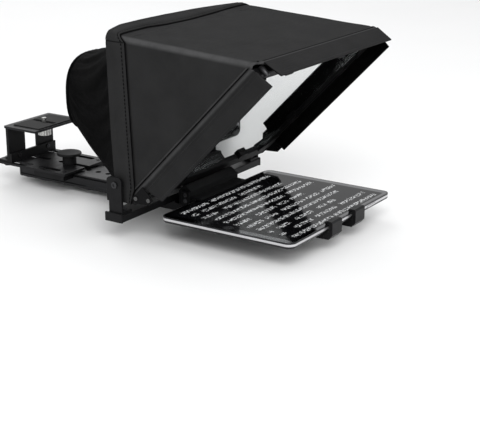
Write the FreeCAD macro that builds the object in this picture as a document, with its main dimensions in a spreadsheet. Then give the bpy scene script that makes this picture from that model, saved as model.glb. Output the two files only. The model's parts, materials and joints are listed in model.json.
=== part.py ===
import FreeCAD, Part
import math
import os
import types

import Sketcher
from FreeCAD import Placement, Rotation, Vector

# Tablet teleprompter, in millimetres. +Z is up, the talent stands on the -Y side and the
# camera sits on the +Y side. The origin is the mouth of the tripod socket under the rail.
# Left is -X and right is +X.

SIZES = {
    # rail: one extrusion along Y, with a row of tapped holes on its centre line
    "rail_width": 50.0,
    "rail_height": 18.0,
    "rail_front": -53.0,
    "rail_rear": 226.0,
    "rail_foot": 3.0,
    "rail_waist": 1.2,
    "rail_groove_low": 14.2,
    "rail_groove_high": 16.0,
    "rail_groove_depth": 2.5,
    "rail_hole_radius": 3.97,
    "rail_hole_pitch": 17.0,
    "rail_hole_first": 89.0,
    "rail_slot_front": 194.0,
    "rail_slot_rear": 220.0,
    "end_cap_thickness": 2.0,
    # steel tripod plate let into the rail's underside
    "socket_plate_width": 38.0,
    "socket_plate_length": 56.0,
    "socket_plate_thickness": 6.0,
    "socket_large_radius": 3.97,
    "socket_small_radius": 2.55,
    "socket_small_offset": 16.0,
    # crossbar and the brackets that carry the hood
    "crossbar_length": 300.0,
    "crossbar_front": -57.0,
    "crossbar_rear": -31.0,
    "crossbar_height": 8.6,
    "crossbar_wall": 3.0,
    "crossbar_lip": 2.8,
    "bracket_inner": 146.5,
    "bracket_thickness": 3.3,
    "bracket_front": -55.0,
    "bracket_rear": -33.0,
    "bracket_step": 2.8,
    "bracket_step_height": 42.0,
    "bracket_top": 72.0,
    "bracket_foot": 16.0,
    # tilt axis of hood and glass, parallel to X
    "tilt_y": -45.0,
    "tilt_z": 62.6,
    "tilt_pin_radius": 3.0,
    "tilt_bore_radius": 3.05,
    # tablet, lying level in front of the crossbar
    "tablet_length": 240.0,
    "tablet_width": 184.0,
    "tablet_thickness": 7.5,
    "tablet_centre": -5.7,
    "tablet_rear": -93.0,
    "tablet_top": 26.0,
    "tablet_corner": 10.0,
    "screen_thickness": 1.0,
    "screen_inset": 1.5,
    "home_radius": 6.5,
    "home_inset": 9.5,
    # clamp bar that grips the tablet's rear edge
    "clamp_half_length": 51.0,
    "clamp_rear": -67.0,
    "clamp_face": -85.0,
    "clamp_lip": -100.0,
    "clamp_bottom": 15.6,
    "clamp_shoulder": 36.0,
    "clamp_crest": 42.5,
    "clamp_plate_thickness": 3.0,
    # two square tubes under the tablet, and the hook arms that slide in them
    "tube_centre": 37.0,
    "tube_width": 20.0,
    "tube_low": 5.6,
    "tube_wall": 2.0,
    "tube_front": -170.0,
    "arm_gap": 0.3,
    "arm_rear": -84.0,
    "hook_centre": 28.0,
    "hook_width": 23.0,
    "hook_shift": -4.5,
    "hook_wall": 4.0,
    "hook_reach": 6.5,
    "hook_top": 30.2,
    "hook_pad": 1.2,
    "lock_y": -158.0,
    "lock_radius": 2.45,
    "lock_bore": 2.5,
    # camera plate, clamped on the rail by the knob
    "plate_half_width": 46.0,
    "plate_front": 126.0,
    "plate_rear": 250.0,
    "plate_bottom": 19.4,
    "plate_thickness": 3.0,
    "slot_radius": 4.25,
    "slot_row": 35.0,
    "front_slot_start": 143.0,
    "front_slot_end": 173.0,
    "rear_slot_start": 192.0,
    "rear_slot_end": 242.0,
    "middle_slot_end": 175.5,
    "jaw_front": 129.0,
    "jaw_rear": 182.0,
    "jaw_bottom": 12.0,
    "jaw_gap": 0.3,
    "knob_y": 157.0,
    "knob_radius": 17.0,
    "knob_neck_radius": 9.5,
    "knob_neck_height": 12.0,
    "knob_head_height": 3.6,
    "knob_stud_radius": 3.92,
    # riser: camera platform on a windowed web, bolted to the plate by an angle
    "riser_half_width": 45.0,
    "foot_front": 222.0,
    "foot_thickness": 3.4,
    "foot_height": 13.0,
    "foot_rear": 247.0,
    "foot_screw_y": 237.6,
    "web_front": 225.8,
    "web_thickness": 4.5,
    "window_half_width": 12.5,
    "window_bottom": 33.0,
    "window_top": 64.0,
    "deck_front": 175.0,
    "deck_rear": 233.5,
    "deck_top": 74.0,
    "deck_thickness": 3.0,
    "deck_slot_front": 180.0,
    "deck_slot_rear": 220.0,
    "deck_pad": 1.5,
    "camera_screw_y": 200.0,
    "camera_screw_radius": 3.175,
    "camera_screw_neck": 2.6,
    "camera_screw_reach": 5.5,
    # hood: the seam that all hood measures start from, and its lean
    "seam_y": -67.0,
    "seam_z": 58.0,
    "glass_lean": 44.15,
    "hood_half_width": 142.0,
    "hood_wall": 4.0,
    "rim_depth": 15.0,
    "frame_half_width": 137.0,
    "frame_back": 4.0,
    "frame_front": 14.0,
    "frame_bar": 14.0,
    "frame_side_bar": 5.0,
    "frame_bottom": -13.0,
    "frame_bottom_bar": 20.0,
    "frame_top": 232.0,
    "glass_back": 7.5,
    "glass_thickness": 3.0,
    "glass_gap": 0.3,
    "gusset": 24.0,
    "back_frame_front": -53.0,
    "back_frame_rear": -38.0,
    "back_frame_bar": 12.0,
    "back_frame_low": 42.0,
    "back_frame_top": 234.0,
    # flaps
    "flap_start": 15.5,
    "flap_end": 35.0,
    "flap_low": 17.0,
    "flap_low_outer": 23.0,
    "flap_high": 236.0,
    "flap_high_outer": 240.0,
    "flap_thickness": 3.6,
    "right_flap_fold": 24.0,
    "top_flap_y": -244.6,
    "top_flap_z": 226.8,
    "top_flap_droop": 35.0,
    "top_flap_gap": 1.9,
    "top_flap_width": 22.5,
    "top_flap_half_length": 130.0,
    # lens sleeve: four tapering panels from the hood's back to the lens
    "sleeve_back_half_width": 134.0,
    "sleeve_back_low": 50.0,
    "sleeve_back_high": 232.0,
    "sleeve_mouth_half_width": 55.0,
    "sleeve_mouth_low": 78.0,
    "sleeve_mouth_high": 186.0,
    "sleeve_start": -38.0,
    "sleeve_end": 105.0,
    "sleeve_skin": 2.0,
    "hem_depth": 9.0,
    "hem_wall": 5.0,
}

doc = FreeCAD.newDocument("Teleprompter")
sheet = doc.addObject("Spreadsheet::Sheet", "Sizes")
for row, (alias, number) in enumerate(SIZES.items(), start=1):
    sheet.set(f"A{row}", alias.replace("_", " "))
    sheet.set(f"B{row}", str(number))
    sheet.setAlias(f"B{row}", alias)
doc.recompute()


class Size:
    """A length with its number and the sheet expression that gives it."""

    def __init__(self, value, text):
        self.value = value
        self.text = text

    def __add__(self, other):
        other = size(other)
        return Size(self.value + other.value, f"({self.text} + {other.text})")

    def __sub__(self, other):
        other = size(other)
        return Size(self.value - other.value, f"({self.text} - {other.text})")

    def __mul__(self, factor):
        return Size(self.value * factor, f"({self.text} * {factor})")

    def __truediv__(self, divisor):
        return Size(self.value / divisor, f"({self.text} / {divisor})")

    def __neg__(self):
        return Size(-self.value, f"(0 - {self.text})")


def size(number):
    """A plain number as a Size; a Size stays itself."""
    if isinstance(number, Size):
        return number
    return Size(float(number), f"({float(number)})")


d = types.SimpleNamespace(**{alias: Size(number, f"Sizes.{alias}") for alias, number in SIZES.items()})
SUBPARTS = []
UP = Vector(0, 0, 1)


def publish(label, solid):
    """Give a finished sub-part the label that names its file."""
    solid.Label = label
    SUBPARTS.append(solid)
    return solid


def bind(item, prop, length):
    item.setExpression(prop, size(length).text)


def place(item, at, turn=Rotation()):
    """Put an object at three sizes, turned by a fixed rotation."""
    at = [size(length) for length in at]
    item.Placement = Placement(Vector(*[length.value for length in at]), turn)
    for axis, length in zip("xyz", at):
        bind(item, f"Placement.Base.{axis}", length)
    return item


# ---------------------------------------------------------------- sketched bodies

PLANES = {"x": ("YZ_Plane", 1), "y": ("XZ_Plane", -1), "z": ("XY_Plane", 1)}


def new_sketch(body, axis, start):
    """A sketch across an axis, at a distance along it: (Y, Z), (X, Z) or (X, Y)."""
    role, sign = PLANES[axis]
    plane = next(item for item in body.Origin.OriginFeatures if item.Role == role)
    sketch = body.newObject("Sketcher::SketchObject", body.Name + "_sketch")
    sketch.AttachmentSupport = (plane, [""])
    sketch.MapMode = "FlatFace"
    bind(sketch, "AttachmentOffset.Base.z", size(start) * sign)
    return sketch


def dimension(sketch, kind, geometry, point, length):
    """Dimension a point from the sketch's origin along one direction."""
    length = size(length)
    if abs(length.value) < 1e-9:
        axis = -2 if kind == "DistanceX" else -1
        sketch.addConstraint(Sketcher.Constraint("PointOnObject", geometry, point, axis))
        return
    index = sketch.addConstraint(Sketcher.Constraint(kind, -1, 1, geometry, point, length.value))
    bind(sketch, f"Constraints[{index}]", length)


def draw_outline(sketch, points):
    """A closed straight-sided outline, every corner dimensioned."""
    first = sketch.GeometryCount
    count = len(points)
    places = [Vector(size(a).value, size(b).value, 0) for a, b in points]
    for index in range(count):
        sketch.addGeometry(Part.LineSegment(places[index], places[(index + 1) % count]), False)
    for index in range(count):
        following = first + (index + 1) % count
        sketch.addConstraint(Sketcher.Constraint("Coincident", first + index, 2, following, 1))
    for index, (across, along) in enumerate(points):
        dimension(sketch, "DistanceX", first + index, 1, across)
        dimension(sketch, "DistanceY", first + index, 1, along)


def draw_circle(sketch, across, along, radius):
    centre = Vector(size(across).value, size(along).value, 0)
    index = sketch.addGeometry(Part.Circle(centre, UP, size(radius).value), False)
    rule = sketch.addConstraint(Sketcher.Constraint("Radius", index, size(radius).value))
    bind(sketch, f"Constraints[{rule}]", radius)
    dimension(sketch, "DistanceX", index, 3, across)
    dimension(sketch, "DistanceY", index, 3, along)


def draw_slot(sketch, across, start, end, radius):
    """A round-ended slot along the sketch's second direction."""
    across, start, end, radius = size(across), size(start), size(end), size(radius)
    low, high = start + radius, end - radius
    left, right = across - radius, across + radius
    top = Part.Circle(Vector(across.value, high.value, 0), UP, radius.value)
    bottom = Part.Circle(Vector(across.value, low.value, 0), UP, radius.value)
    first = sketch.GeometryCount
    sketch.addGeometry(Part.ArcOfCircle(top, 0, math.pi), False)
    sketch.addGeometry(
        Part.LineSegment(Vector(left.value, high.value, 0), Vector(left.value, low.value, 0)), False)
    sketch.addGeometry(Part.ArcOfCircle(bottom, math.pi, 2 * math.pi), False)
    sketch.addGeometry(
        Part.LineSegment(Vector(right.value, low.value, 0), Vector(right.value, high.value, 0)), False)
    for index in range(4):
        following = first + (index + 1) % 4
        sketch.addConstraint(Sketcher.Constraint("Tangent", first + index, 2, following, 1))
    sketch.addConstraint(Sketcher.Constraint("Equal", first, first + 2))
    rule = sketch.addConstraint(Sketcher.Constraint("Radius", first, radius.value))
    bind(sketch, f"Constraints[{rule}]", radius)
    for arc, height in ((first, high), (first + 2, low)):
        dimension(sketch, "DistanceX", arc, 3, across)
        dimension(sketch, "DistanceY", arc, 3, height)


def prism(label, axis, start, length, outline, circles=(), slots=(), soften=0.0, own=True):
    """A padded body: an outline with holes, pushed along an axis from its start.

    It is a sub-part of its own unless it is only one limb of a piece that is fused later.
    """
    body = doc.addObject("PartDesign::Body", label + "_body")
    sketch = new_sketch(body, axis, start)
    draw_outline(sketch, outline)
    for circle in circles:
        draw_circle(sketch, *circle)
    for slot in slots:
        draw_slot(sketch, *slot)
    pad = body.newObject("PartDesign::Pad", body.Name + "_pad")
    pad.Profile = sketch
    pad.Reversed = axis == "y"
    bind(pad, "Length", length)
    doc.recompute()
    if soften:
        chamfer_edges(body, soften)
    return publish(label, body) if own else body


def chamfer_edges(body, width, wanted=None):
    """Break the body's edges, all of them or the wanted ones."""
    base = body.Tip
    chamfer = body.newObject("PartDesign::Chamfer", body.Name + "_chamfer")
    if wanted is None:
        chamfer.Base = (base, ["Edge1"])
        chamfer.UseAllEdges = True
    else:
        chamfer.Base = (base, edge_names(base.Shape, wanted))
    chamfer.Size = width
    body.Tip = chamfer
    doc.recompute()


def edge_names(shape, wanted):
    return [f"Edge{index}" for index, edge in enumerate(shape.Edges, start=1) if wanted(edge)]


def round_edges(body, radius, wanted):
    """Fillet the edges that the test picks out."""
    base = body.Tip
    fillet = body.newObject("PartDesign::Fillet", body.Name + "_fillet")
    fillet.Base = (base, edge_names(base.Shape, wanted))
    fillet.Radius = radius
    body.Tip = fillet
    doc.recompute()


def cut_pocket(body, axis, start, depth, outline=None, circles=(), slots=()):
    """Cut into a body along an axis from a start, and make sure that it did cut."""
    before = body.Shape.Volume
    sketch = new_sketch(body, axis, start)
    if outline:
        draw_outline(sketch, outline)
    for circle in circles:
        draw_circle(sketch, *circle)
    for slot in slots:
        draw_slot(sketch, *slot)
    pocket = body.newObject("PartDesign::Pocket", body.Name + "_pocket")
    pocket.Profile = sketch
    pocket.Reversed = axis != "y"
    bind(pocket, "Length", depth)
    doc.recompute()
    if body.Shape.Volume > before - 1.0:
        raise RuntimeError(f"{body.Label}: a pocket removed nothing")
    return pocket


def rectangle(left, right, low, high):
    return [(left, low), (right, low), (right, high), (left, high)]


def along_edge(axis, *tests):
    """An edge test: straight, parallel to an axis, and near given coordinates."""
    def wanted(edge):
        if edge.Curve.TypeId != "Part::GeomLine":
            return False
        if abs(getattr(edge.tangentAt(edge.FirstParameter), axis)) < 0.999:
            return False
        centre = edge.CenterOfMass
        return any(all(abs(getattr(centre, name) - value) < 0.6 for name, value in test.items())
                   for test in tests)
    return wanted


def lean(body):
    """Stand a hood part on the seam, leant back with the glass: its -Y is the glass's front."""
    body.Placement = Placement(Vector(0, d.seam_y.value, d.seam_z.value),
                               Rotation(Vector(1, 0, 0), d.glass_lean.value))
    bind(body, "Placement.Base.y", d.seam_y)
    bind(body, "Placement.Base.z", d.seam_z)
    bind(body, "Placement.Rotation.Angle", d.glass_lean)
    return body


# ---------------------------------------------------------------- primitives

def block(name, low, extent):
    """A box from its lowest corner and its three lengths."""
    item = doc.addObject("Part::Box", name)
    for prop, length in zip(("Length", "Width", "Height"), extent):
        bind(item, prop, length)
    return place(item, low)


def rod(name, at, radius, height, direction=UP):
    item = doc.addObject("Part::Cylinder", name)
    bind(item, "Radius", radius)
    bind(item, "Height", height)
    return place(item, at, Rotation(UP, direction))


def hexagon(name, at, radius, height, direction=UP):
    item = doc.addObject("Part::Prism", name)
    item.Polygon = 6
    bind(item, "Circumradius", radius)
    bind(item, "Height", height)
    return place(item, at, Rotation(UP, direction))


def fused(name, items):
    item = doc.addObject("Part::MultiFuse", name)
    item.Shapes = items
    return item


def cut_from(name, base, tool):
    item = doc.addObject("Part::Cut", name)
    item.Base = base
    item.Tool = tool
    return item


def group(label, items):
    """Several separate solids that share one node."""
    item = doc.addObject("Part::Compound", label + "_group")
    item.Links = items
    return publish(label, item)


def moved(at, direction, distance):
    """A point shifted along a direction."""
    distance = size(distance)
    shifted = []
    for length, part in zip(at, direction):
        shifted.append(size(length) + distance * part if part else size(length))
    return shifted


def socket_screw(name, seat, out, shank_radius, shank_length, head_radius, head_height):
    """A round-headed screw with a hexagon socket: its seat, and the way its head points."""
    back = out * -1
    head = rod(name + "_head", seat, head_radius, head_height, out)
    shank = rod(name + "_shank", seat, shank_radius, shank_length, back)
    recess_depth = size(head_height) * 0.6
    recess = hexagon(name + "_recess", moved(seat, out, size(head_height) - recess_depth),
                     size(head_radius) * 0.5, recess_depth, out)
    return cut_from(name, fused(name + "_blank", [head, shank]), recess)


SIDES = (("left", -1), ("right", 1))
LEFT, RIGHT, FORWARD = Vector(-1, 0, 0), Vector(1, 0, 0), Vector(0, -1, 0)


# ---------------------------------------------------------------- rail and tripod plate

def build_rail():
    half = d.rail_width / 2
    waist = half - d.rail_waist
    groove = half - d.rail_groove_depth
    right_side = [
        (half, size(0)), (half, d.rail_foot), (waist, d.rail_foot + 1.2),
        (waist, d.rail_groove_low - 1.2), (half, d.rail_groove_low), (groove, d.rail_groove_low),
        (groove, d.rail_groove_high), (half, d.rail_groove_high), (half, d.rail_height),
    ]
    left_side = [(-across, height) for across, height in reversed(right_side)]
    rail = prism("rail", "y", d.rail_front, d.rail_rear - d.rail_front, right_side + left_side)
    half_plate = d.socket_plate_width / 2
    reach = d.socket_plate_length / 2
    cut_pocket(rail, "z", 0, d.socket_plate_thickness, rectangle(-half_plate, half_plate, -reach, reach))
    cut_pocket(rail, "z", 0, d.rail_height,
               slots=[(0, d.rail_slot_front, d.rail_slot_rear, d.slot_radius)])
    hole = cut_pocket(rail, "z", 0, d.rail_height, circles=[(0, d.rail_hole_first, d.rail_hole_radius)])
    row_of_holes = rail.newObject("PartDesign::LinearPattern", "rail_holes")
    row_of_holes.Originals = [hole]
    row_of_holes.Direction = (hole.Profile[0], ["V_Axis"])
    row_of_holes.Occurrences = 5
    bind(row_of_holes, "Length", d.rail_hole_pitch * 4)
    rail.Tip = row_of_holes
    doc.recompute()


def build_rail_ends():
    half = d.rail_width / 2 - 0.4
    starts = (d.rail_front - d.end_cap_thickness, d.rail_rear)
    caps = [prism(f"rail_cap_{index}", "y", start, d.end_cap_thickness,
                  rectangle(-half, half, 0.4, d.rail_height - 0.4), soften=0.6, own=False)
            for index, start in enumerate(starts)]
    group("rail_end_caps", caps)


def build_tripod_plate():
    half = d.socket_plate_width / 2
    reach = d.socket_plate_length / 2
    prism("tripod_plate", "z", 0, d.socket_plate_thickness, rectangle(-half, half, -reach, reach),
          circles=[(0, 0, d.socket_large_radius), (0, d.socket_small_offset, d.socket_small_radius),
                   (0, -d.socket_small_offset, d.socket_small_radius)])


# ---------------------------------------------------------------- crossbar and brackets

def build_crossbar():
    """An inverted channel, with an upturned lip outside each bracket."""
    low = d.rail_height
    high = low + d.crossbar_height
    wall = d.crossbar_wall
    front, rear = d.crossbar_front, d.crossbar_rear
    profile = [
        (front, low), (front + wall, low), (front + wall, high - wall), (rear - wall, high - wall),
        (rear - wall, low), (rear, low), (rear, high), (front, high),
    ]
    crossbar = prism("channel", "x", -d.crossbar_length / 2, d.crossbar_length, profile, own=False)
    round_edges(crossbar, 0.8, along_edge("x", {"y": front.value, "z": high.value},
                                          {"y": rear.value, "z": high.value}))
    half = d.crossbar_length / 2
    outline = rectangle(front, rear, low - 1.0, high + 1.6)
    limbs = [crossbar]
    for name, side in SIDES:
        start = half if side > 0 else -half - d.crossbar_lip
        limbs.append(prism(f"{name}_lip", "x", start, d.crossbar_lip, outline, soften=0.5, own=False))
    publish("crossbar", fused("crossbar_fusion", limbs))


def build_brackets():
    """Upright plates with a foot on the crossbar; the tilt pins pass near their tops."""
    floor = d.rail_height + d.crossbar_height
    step_rear = d.bracket_rear - d.bracket_step
    outline = [
        (d.bracket_front, floor), (step_rear, floor), (step_rear, d.bracket_step_height),
        (d.bracket_rear, d.bracket_step_height), (d.bracket_rear, d.bracket_top),
        (d.bracket_front, d.bracket_top),
    ]
    for name, side in SIDES:
        inner = d.bracket_inner
        outer = inner + d.bracket_thickness
        start = inner if side > 0 else -outer
        bracket = prism(f"{name}_upright", "x", start, d.bracket_thickness, outline,
                        circles=[(d.tilt_y, d.tilt_z, d.tilt_pin_radius)], own=False)
        round_edges(bracket, 5.0, along_edge("x", {"y": d.bracket_front.value, "z": d.bracket_top.value},
                                             {"y": d.bracket_rear.value, "z": d.bracket_top.value}))
        foot_start = inner - d.bracket_foot if side > 0 else -inner
        foot = prism(f"{name}_foot", "x", foot_start, d.bracket_foot,
                     rectangle(d.bracket_front, step_rear, floor, floor + d.bracket_thickness), own=False)
        publish(f"{name}_bracket", fused(f"{name}_bracket_fusion", [bracket, foot]))


def build_frame_fasteners():
    """Bolts that hold the crossbar to the rail and the bracket feet to the crossbar."""
    floor = d.rail_height + d.crossbar_height
    screws = []
    for index, (x, y) in enumerate(((-14.0, -50.0), (14.0, -50.0), (-14.0, -38.0), (14.0, -38.0))):
        screws.append(socket_screw(f"rail_bolt_{index}", (x, y, floor), UP, 2.5, 16.0, 4.2, 2.6))
    for name, side in SIDES:
        for index, y in enumerate((-50.0, -41.0)):
            seat = (side * 138.0, y, floor + d.bracket_thickness)
            screws.append(socket_screw(f"{name}_foot_bolt_{index}", seat, UP, 1.5, 5.5, 2.8, 1.8))
    group("crossbar_bolts", screws)
    pins, washers = [], []
    for name, side in SIDES:
        out = RIGHT if side > 0 else LEFT
        outer = d.bracket_inner + d.bracket_thickness
        length = outer - d.hood_half_width + d.hood_wall + 11.0
        seat = (outer * side, d.tilt_y, d.tilt_z)
        pins.append(socket_screw(f"{name}_pin", seat, out, d.tilt_pin_radius, length, 4.0, 1.4))
        gap = d.bracket_inner - d.hood_half_width - 0.3
        blank = rod(f"{name}_washer_blank", (d.bracket_inner * side, d.tilt_y, d.tilt_z), 8.0, gap, out * -1)
        bore = rod(f"{name}_washer_bore", (d.bracket_inner * side, d.tilt_y, d.tilt_z),
                   d.tilt_pin_radius, gap, out * -1)
        washers.append(cut_from(f"{name}_washer", blank, bore))
    group("tilt_pins", pins)
    group("tilt_washers", washers)


# ---------------------------------------------------------------- tablet holder

def build_clamp_bar():
    """The bar behind the tablet: a groove for the tablet's edge under a wedge-topped body."""
    back = d.tablet_rear + 0.4
    glass = d.tablet_top + 0.4
    underside = d.tablet_top - d.tablet_thickness - 0.3
    profile = [
        (d.clamp_lip, d.clamp_bottom), (d.clamp_lip, underside), (back, underside), (back, glass),
        (d.clamp_lip, glass), (d.clamp_lip, glass + 2.2), (d.clamp_face, glass + 2.8),
        (d.clamp_face, d.clamp_shoulder), (d.clamp_face + 8.0, d.clamp_crest),
        (d.clamp_face + 11.0, d.clamp_crest), (d.clamp_rear, d.clamp_shoulder - 1.0),
        (d.clamp_rear, d.clamp_bottom),
    ]
    prism("tablet_clamp_bar", "x", -d.clamp_half_length, d.clamp_half_length * 2, profile)
    screws = []
    plates = []
    for name, side in SIDES:
        end = d.clamp_half_length
        start = end if side > 0 else -end - d.clamp_plate_thickness
        outline = rectangle(d.clamp_face, d.clamp_face + 12.5, d.clamp_bottom + 0.5, d.clamp_shoulder)
        plates.append(prism(f"{name}_end_plate", "x", start, d.clamp_plate_thickness, outline,
                            soften=0.5, own=False))
        out = RIGHT if side > 0 else LEFT
        face = end + d.clamp_plate_thickness
        for index, height in enumerate((23.5, 31.0)):
            seat = (face * side, d.clamp_face + 6.2, height)
            screws.append(socket_screw(f"{name}_end_screw_{index}", seat, out, 1.5, 7.0, 2.6, 0.9))
    group("clamp_end_plates", plates)
    group("clamp_end_screws", screws)


def build_tubes():
    """Square tubes from the crossbar to under the tablet; the hook arms slide inside them."""
    half = d.tube_width / 2
    high = d.clamp_bottom
    spacers = []
    for name, side in SIDES:
        centre = d.tube_centre * side
        tube = prism(f"{name}_arm_tube", "y", d.tube_front, d.crossbar_rear - d.tube_front,
                     rectangle(centre - half, centre + half, d.tube_low, high))
        cut_pocket(tube, "y", d.tube_front, d.crossbar_rear - d.tube_front,
                   rectangle(centre - half + d.tube_wall, centre + half - d.tube_wall,
                             d.tube_low + d.tube_wall, high - d.tube_wall))
        cut_pocket(tube, "z", d.tube_low, d.tube_wall, circles=[(centre, d.lock_y, d.lock_bore)])
        spacers.append(prism(f"{name}_spacer", "z", high, d.rail_height - high,
                             rectangle(centre - half, centre + half, d.crossbar_front, d.crossbar_rear),
                             own=False))
    group("tube_spacers", spacers)


def build_hooks():
    """Sliding arms, each with a C-shaped hook over the tablet's front edge."""
    edge = d.tablet_rear - d.tablet_width - 0.4
    half_arm = d.tube_width / 2 - d.tube_wall - d.arm_gap
    low = d.tube_low + d.tube_wall + d.arm_gap
    high = d.clamp_bottom - d.tube_wall - d.arm_gap
    tablet_bottom = d.tablet_top - d.tablet_thickness
    for name, side in SIDES:
        centre = d.tube_centre * side
        arm = prism(f"{name}_arm", "z", low, high - low,
                    rectangle(centre - half_arm, centre + half_arm, edge + d.hook_reach, d.arm_rear),
                    own=False)
        under = tablet_bottom - d.hook_pad - 0.3
        over = d.tablet_top + d.hook_pad + 0.3
        inner = edge - d.hook_pad
        profile = [
            (inner + d.hook_reach + 14.0, low), (inner + d.hook_reach + 14.0, under),
            (inner, under), (inner, over), (inner + d.hook_reach, over),
            (inner + d.hook_reach, d.hook_top - 1.5), (inner + d.hook_reach - 1.5, d.hook_top),
            (inner - d.hook_wall + 2.0, d.hook_top), (inner - d.hook_wall, d.hook_top - 2.0),
            (inner - d.hook_wall, low + 5.5), (inner - d.hook_wall + 5.0, low),
        ]
        hook_centre = d.hook_centre * side + d.hook_shift
        hook = prism(f"{name}_hook", "x", hook_centre - d.hook_width / 2, d.hook_width, profile, own=False)
        publish(f"{name}_hook_arm", fused(f"{name}_hook_fusion", [arm, hook]))
        pad_profile = [
            (inner + d.hook_reach, under), (inner + d.hook_reach, under + d.hook_pad),
            (edge, under + d.hook_pad), (edge, over - d.hook_pad), (inner + d.hook_reach, over - d.hook_pad),
            (inner + d.hook_reach, over), (inner, over), (inner, under),
        ]
        prism(f"{name}_hook_pad", "x", hook_centre - d.hook_width / 2 + 1.0, d.hook_width - 2.0, pad_profile)
        shank = rod(f"{name}_lock_shank", (centre, d.lock_y, d.tube_low - 4.0), d.lock_radius, 5.8)
        grip = knurled_grip(f"{name}_lock", (centre, d.lock_y, d.tube_low - 12.0), 8.0, 9.0, 14)
        publish(f"{name}_lock_screw", fused(f"{name}_lock_blank", [shank, grip]))


def knurled_grip(name, at, radius, height, teeth):
    """A round grip with shallow scallops evenly spaced round its rim."""
    blank = rod(name + "_grip", at, radius, height)
    cutters = []
    for index in range(teeth):
        angle = 2 * math.pi * index / teeth
        reach = size(radius) + 0.9
        spot = (size(at[0]) + reach * math.cos(angle), size(at[1]) + reach * math.sin(angle), at[2])
        cutters.append(rod(f"{name}_scallop_{index}", spot, 1.7, height))
    return cut_from(name + "_knurl", blank, fused(name + "_scallops", cutters))


# ---------------------------------------------------------------- tablet

def upright_edge(edge):
    return edge.Curve.TypeId == "Part::GeomLine" and abs(edge.tangentAt(edge.FirstParameter).z) > 0.999


def build_tablet():
    """A tray-shaped case, the screen set flush in it, and its three buttons."""
    left = d.tablet_centre - d.tablet_length / 2
    right = d.tablet_centre + d.tablet_length / 2
    front, rear = d.tablet_rear - d.tablet_width, d.tablet_rear
    low = d.tablet_top - d.tablet_thickness
    screen_low = d.tablet_top - d.screen_thickness
    inset = d.screen_inset
    case = prism("tablet_shell", "z", low, d.tablet_thickness, rectangle(left, right, front, rear),
                 own=False)
    round_edges(case, d.tablet_corner.value, upright_edge)
    round_edges(case, 2.6, lambda edge: abs(edge.CenterOfMass.z - low.value) < 0.01)
    screen = prism("tablet_screen", "z", screen_low, d.screen_thickness,
                   rectangle(left + inset, right - inset, front + inset, rear - inset))
    round_edges(screen, d.tablet_corner.value - d.screen_inset.value, upright_edge)
    button_x = left + d.home_inset
    button_y = front + d.tablet_width / 2
    cut_pocket(screen, "z", screen_low, d.screen_thickness, circles=[(button_x, button_y, d.home_radius)])
    cut_pocket(case, "z", screen_low - 1.6, d.screen_thickness + 1.6,
               circles=[(button_x, button_y, d.home_radius)])
    publish("home_button", rod("home_button_disc", (button_x, button_y, screen_low - 0.9),
                               d.home_radius - 0.35, 1.8))
    key_low = low + 2.9
    key_depth = size(1.6)
    power_y = rear - 34.0
    volume_x = right - 52.0
    cut_pocket(case, "z", key_low - 0.3, 2.6,
               rectangle(right - key_depth, right + 1.0, power_y - 5.3, power_y + 5.3))
    cut_pocket(case, "z", key_low - 0.3, 2.6,
               rectangle(volume_x - 10.3, volume_x + 10.3, front - 1.0, front + key_depth))
    publish("tablet_case", cut_from("tablet_case_cut", case, screen))
    publish("power_button", block("power_key", (right - 1.0, power_y - 5.0, key_low), (1.5, 10.0, 2.0)))
    publish("volume_button", block("volume_key", (volume_x - 10.0, front - 0.5, key_low), (20.0, 1.5, 2.0)))


# ---------------------------------------------------------------- camera plate and knob

def build_camera_plate():
    half = d.plate_half_width
    slots = [(-d.slot_row, d.front_slot_start, d.front_slot_end, d.slot_radius),
             (d.slot_row, d.front_slot_start, d.front_slot_end, d.slot_radius)]
    slots += [(across, d.rear_slot_start, d.rear_slot_end, d.slot_radius)
              for across in (-d.slot_row, size(0), d.slot_row)]
    plate = prism("camera_plate", "z", d.plate_bottom, d.plate_thickness,
                  rectangle(-half, half, d.plate_front, d.plate_rear), slots=slots)
    cut_pocket(plate, "z", d.plate_bottom, d.plate_thickness,
               slots=[(0, d.plate_front + 4.0, d.middle_slot_end, d.slot_radius)])
    cut_pocket(plate, "z", d.plate_bottom, d.plate_thickness,
               rectangle(-d.slot_radius, d.slot_radius, d.plate_front, d.plate_front + 12.0))
    inner = d.rail_width / 2 + d.jaw_gap
    lip = d.rail_width / 2 - d.rail_groove_depth + d.jaw_gap
    groove_low = d.rail_groove_low + 0.2
    groove_high = d.rail_groove_high - 0.2
    right_jaw = [
        (inner, d.jaw_bottom), (half - 1.0, d.jaw_bottom), (half - 1.0, d.plate_bottom),
        (inner, d.plate_bottom), (inner, groove_high), (lip, groove_high), (lip, groove_low),
        (inner, groove_low),
    ]
    jaws = []
    for name, side in SIDES:
        outline = [(across * side, height) for across, height in right_jaw]
        jaws.append(prism(f"{name}_jaw", "y", d.jaw_front, d.jaw_rear - d.jaw_front, outline, own=False))
    group("clamp_jaws", jaws)
    strips = [block(f"glide_strip_{name}", (side * 18.0 - 4.0, d.plate_front + 2.0, d.rail_height + 0.1),
                    (8.0, 90.0, d.plate_bottom - d.rail_height - 0.1)) for name, side in SIDES]
    group("glide_strips", strips)
    top = d.plate_bottom + d.plate_thickness
    screws = [socket_screw(f"jaw_screw_{side}_{y:.0f}", (side * 35.0, y, top), UP, 1.5, 9.0, 2.7, 0.8)
              for _, side in SIDES for y in (135.0, 178.0)]
    group("jaw_screws", screws)


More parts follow.
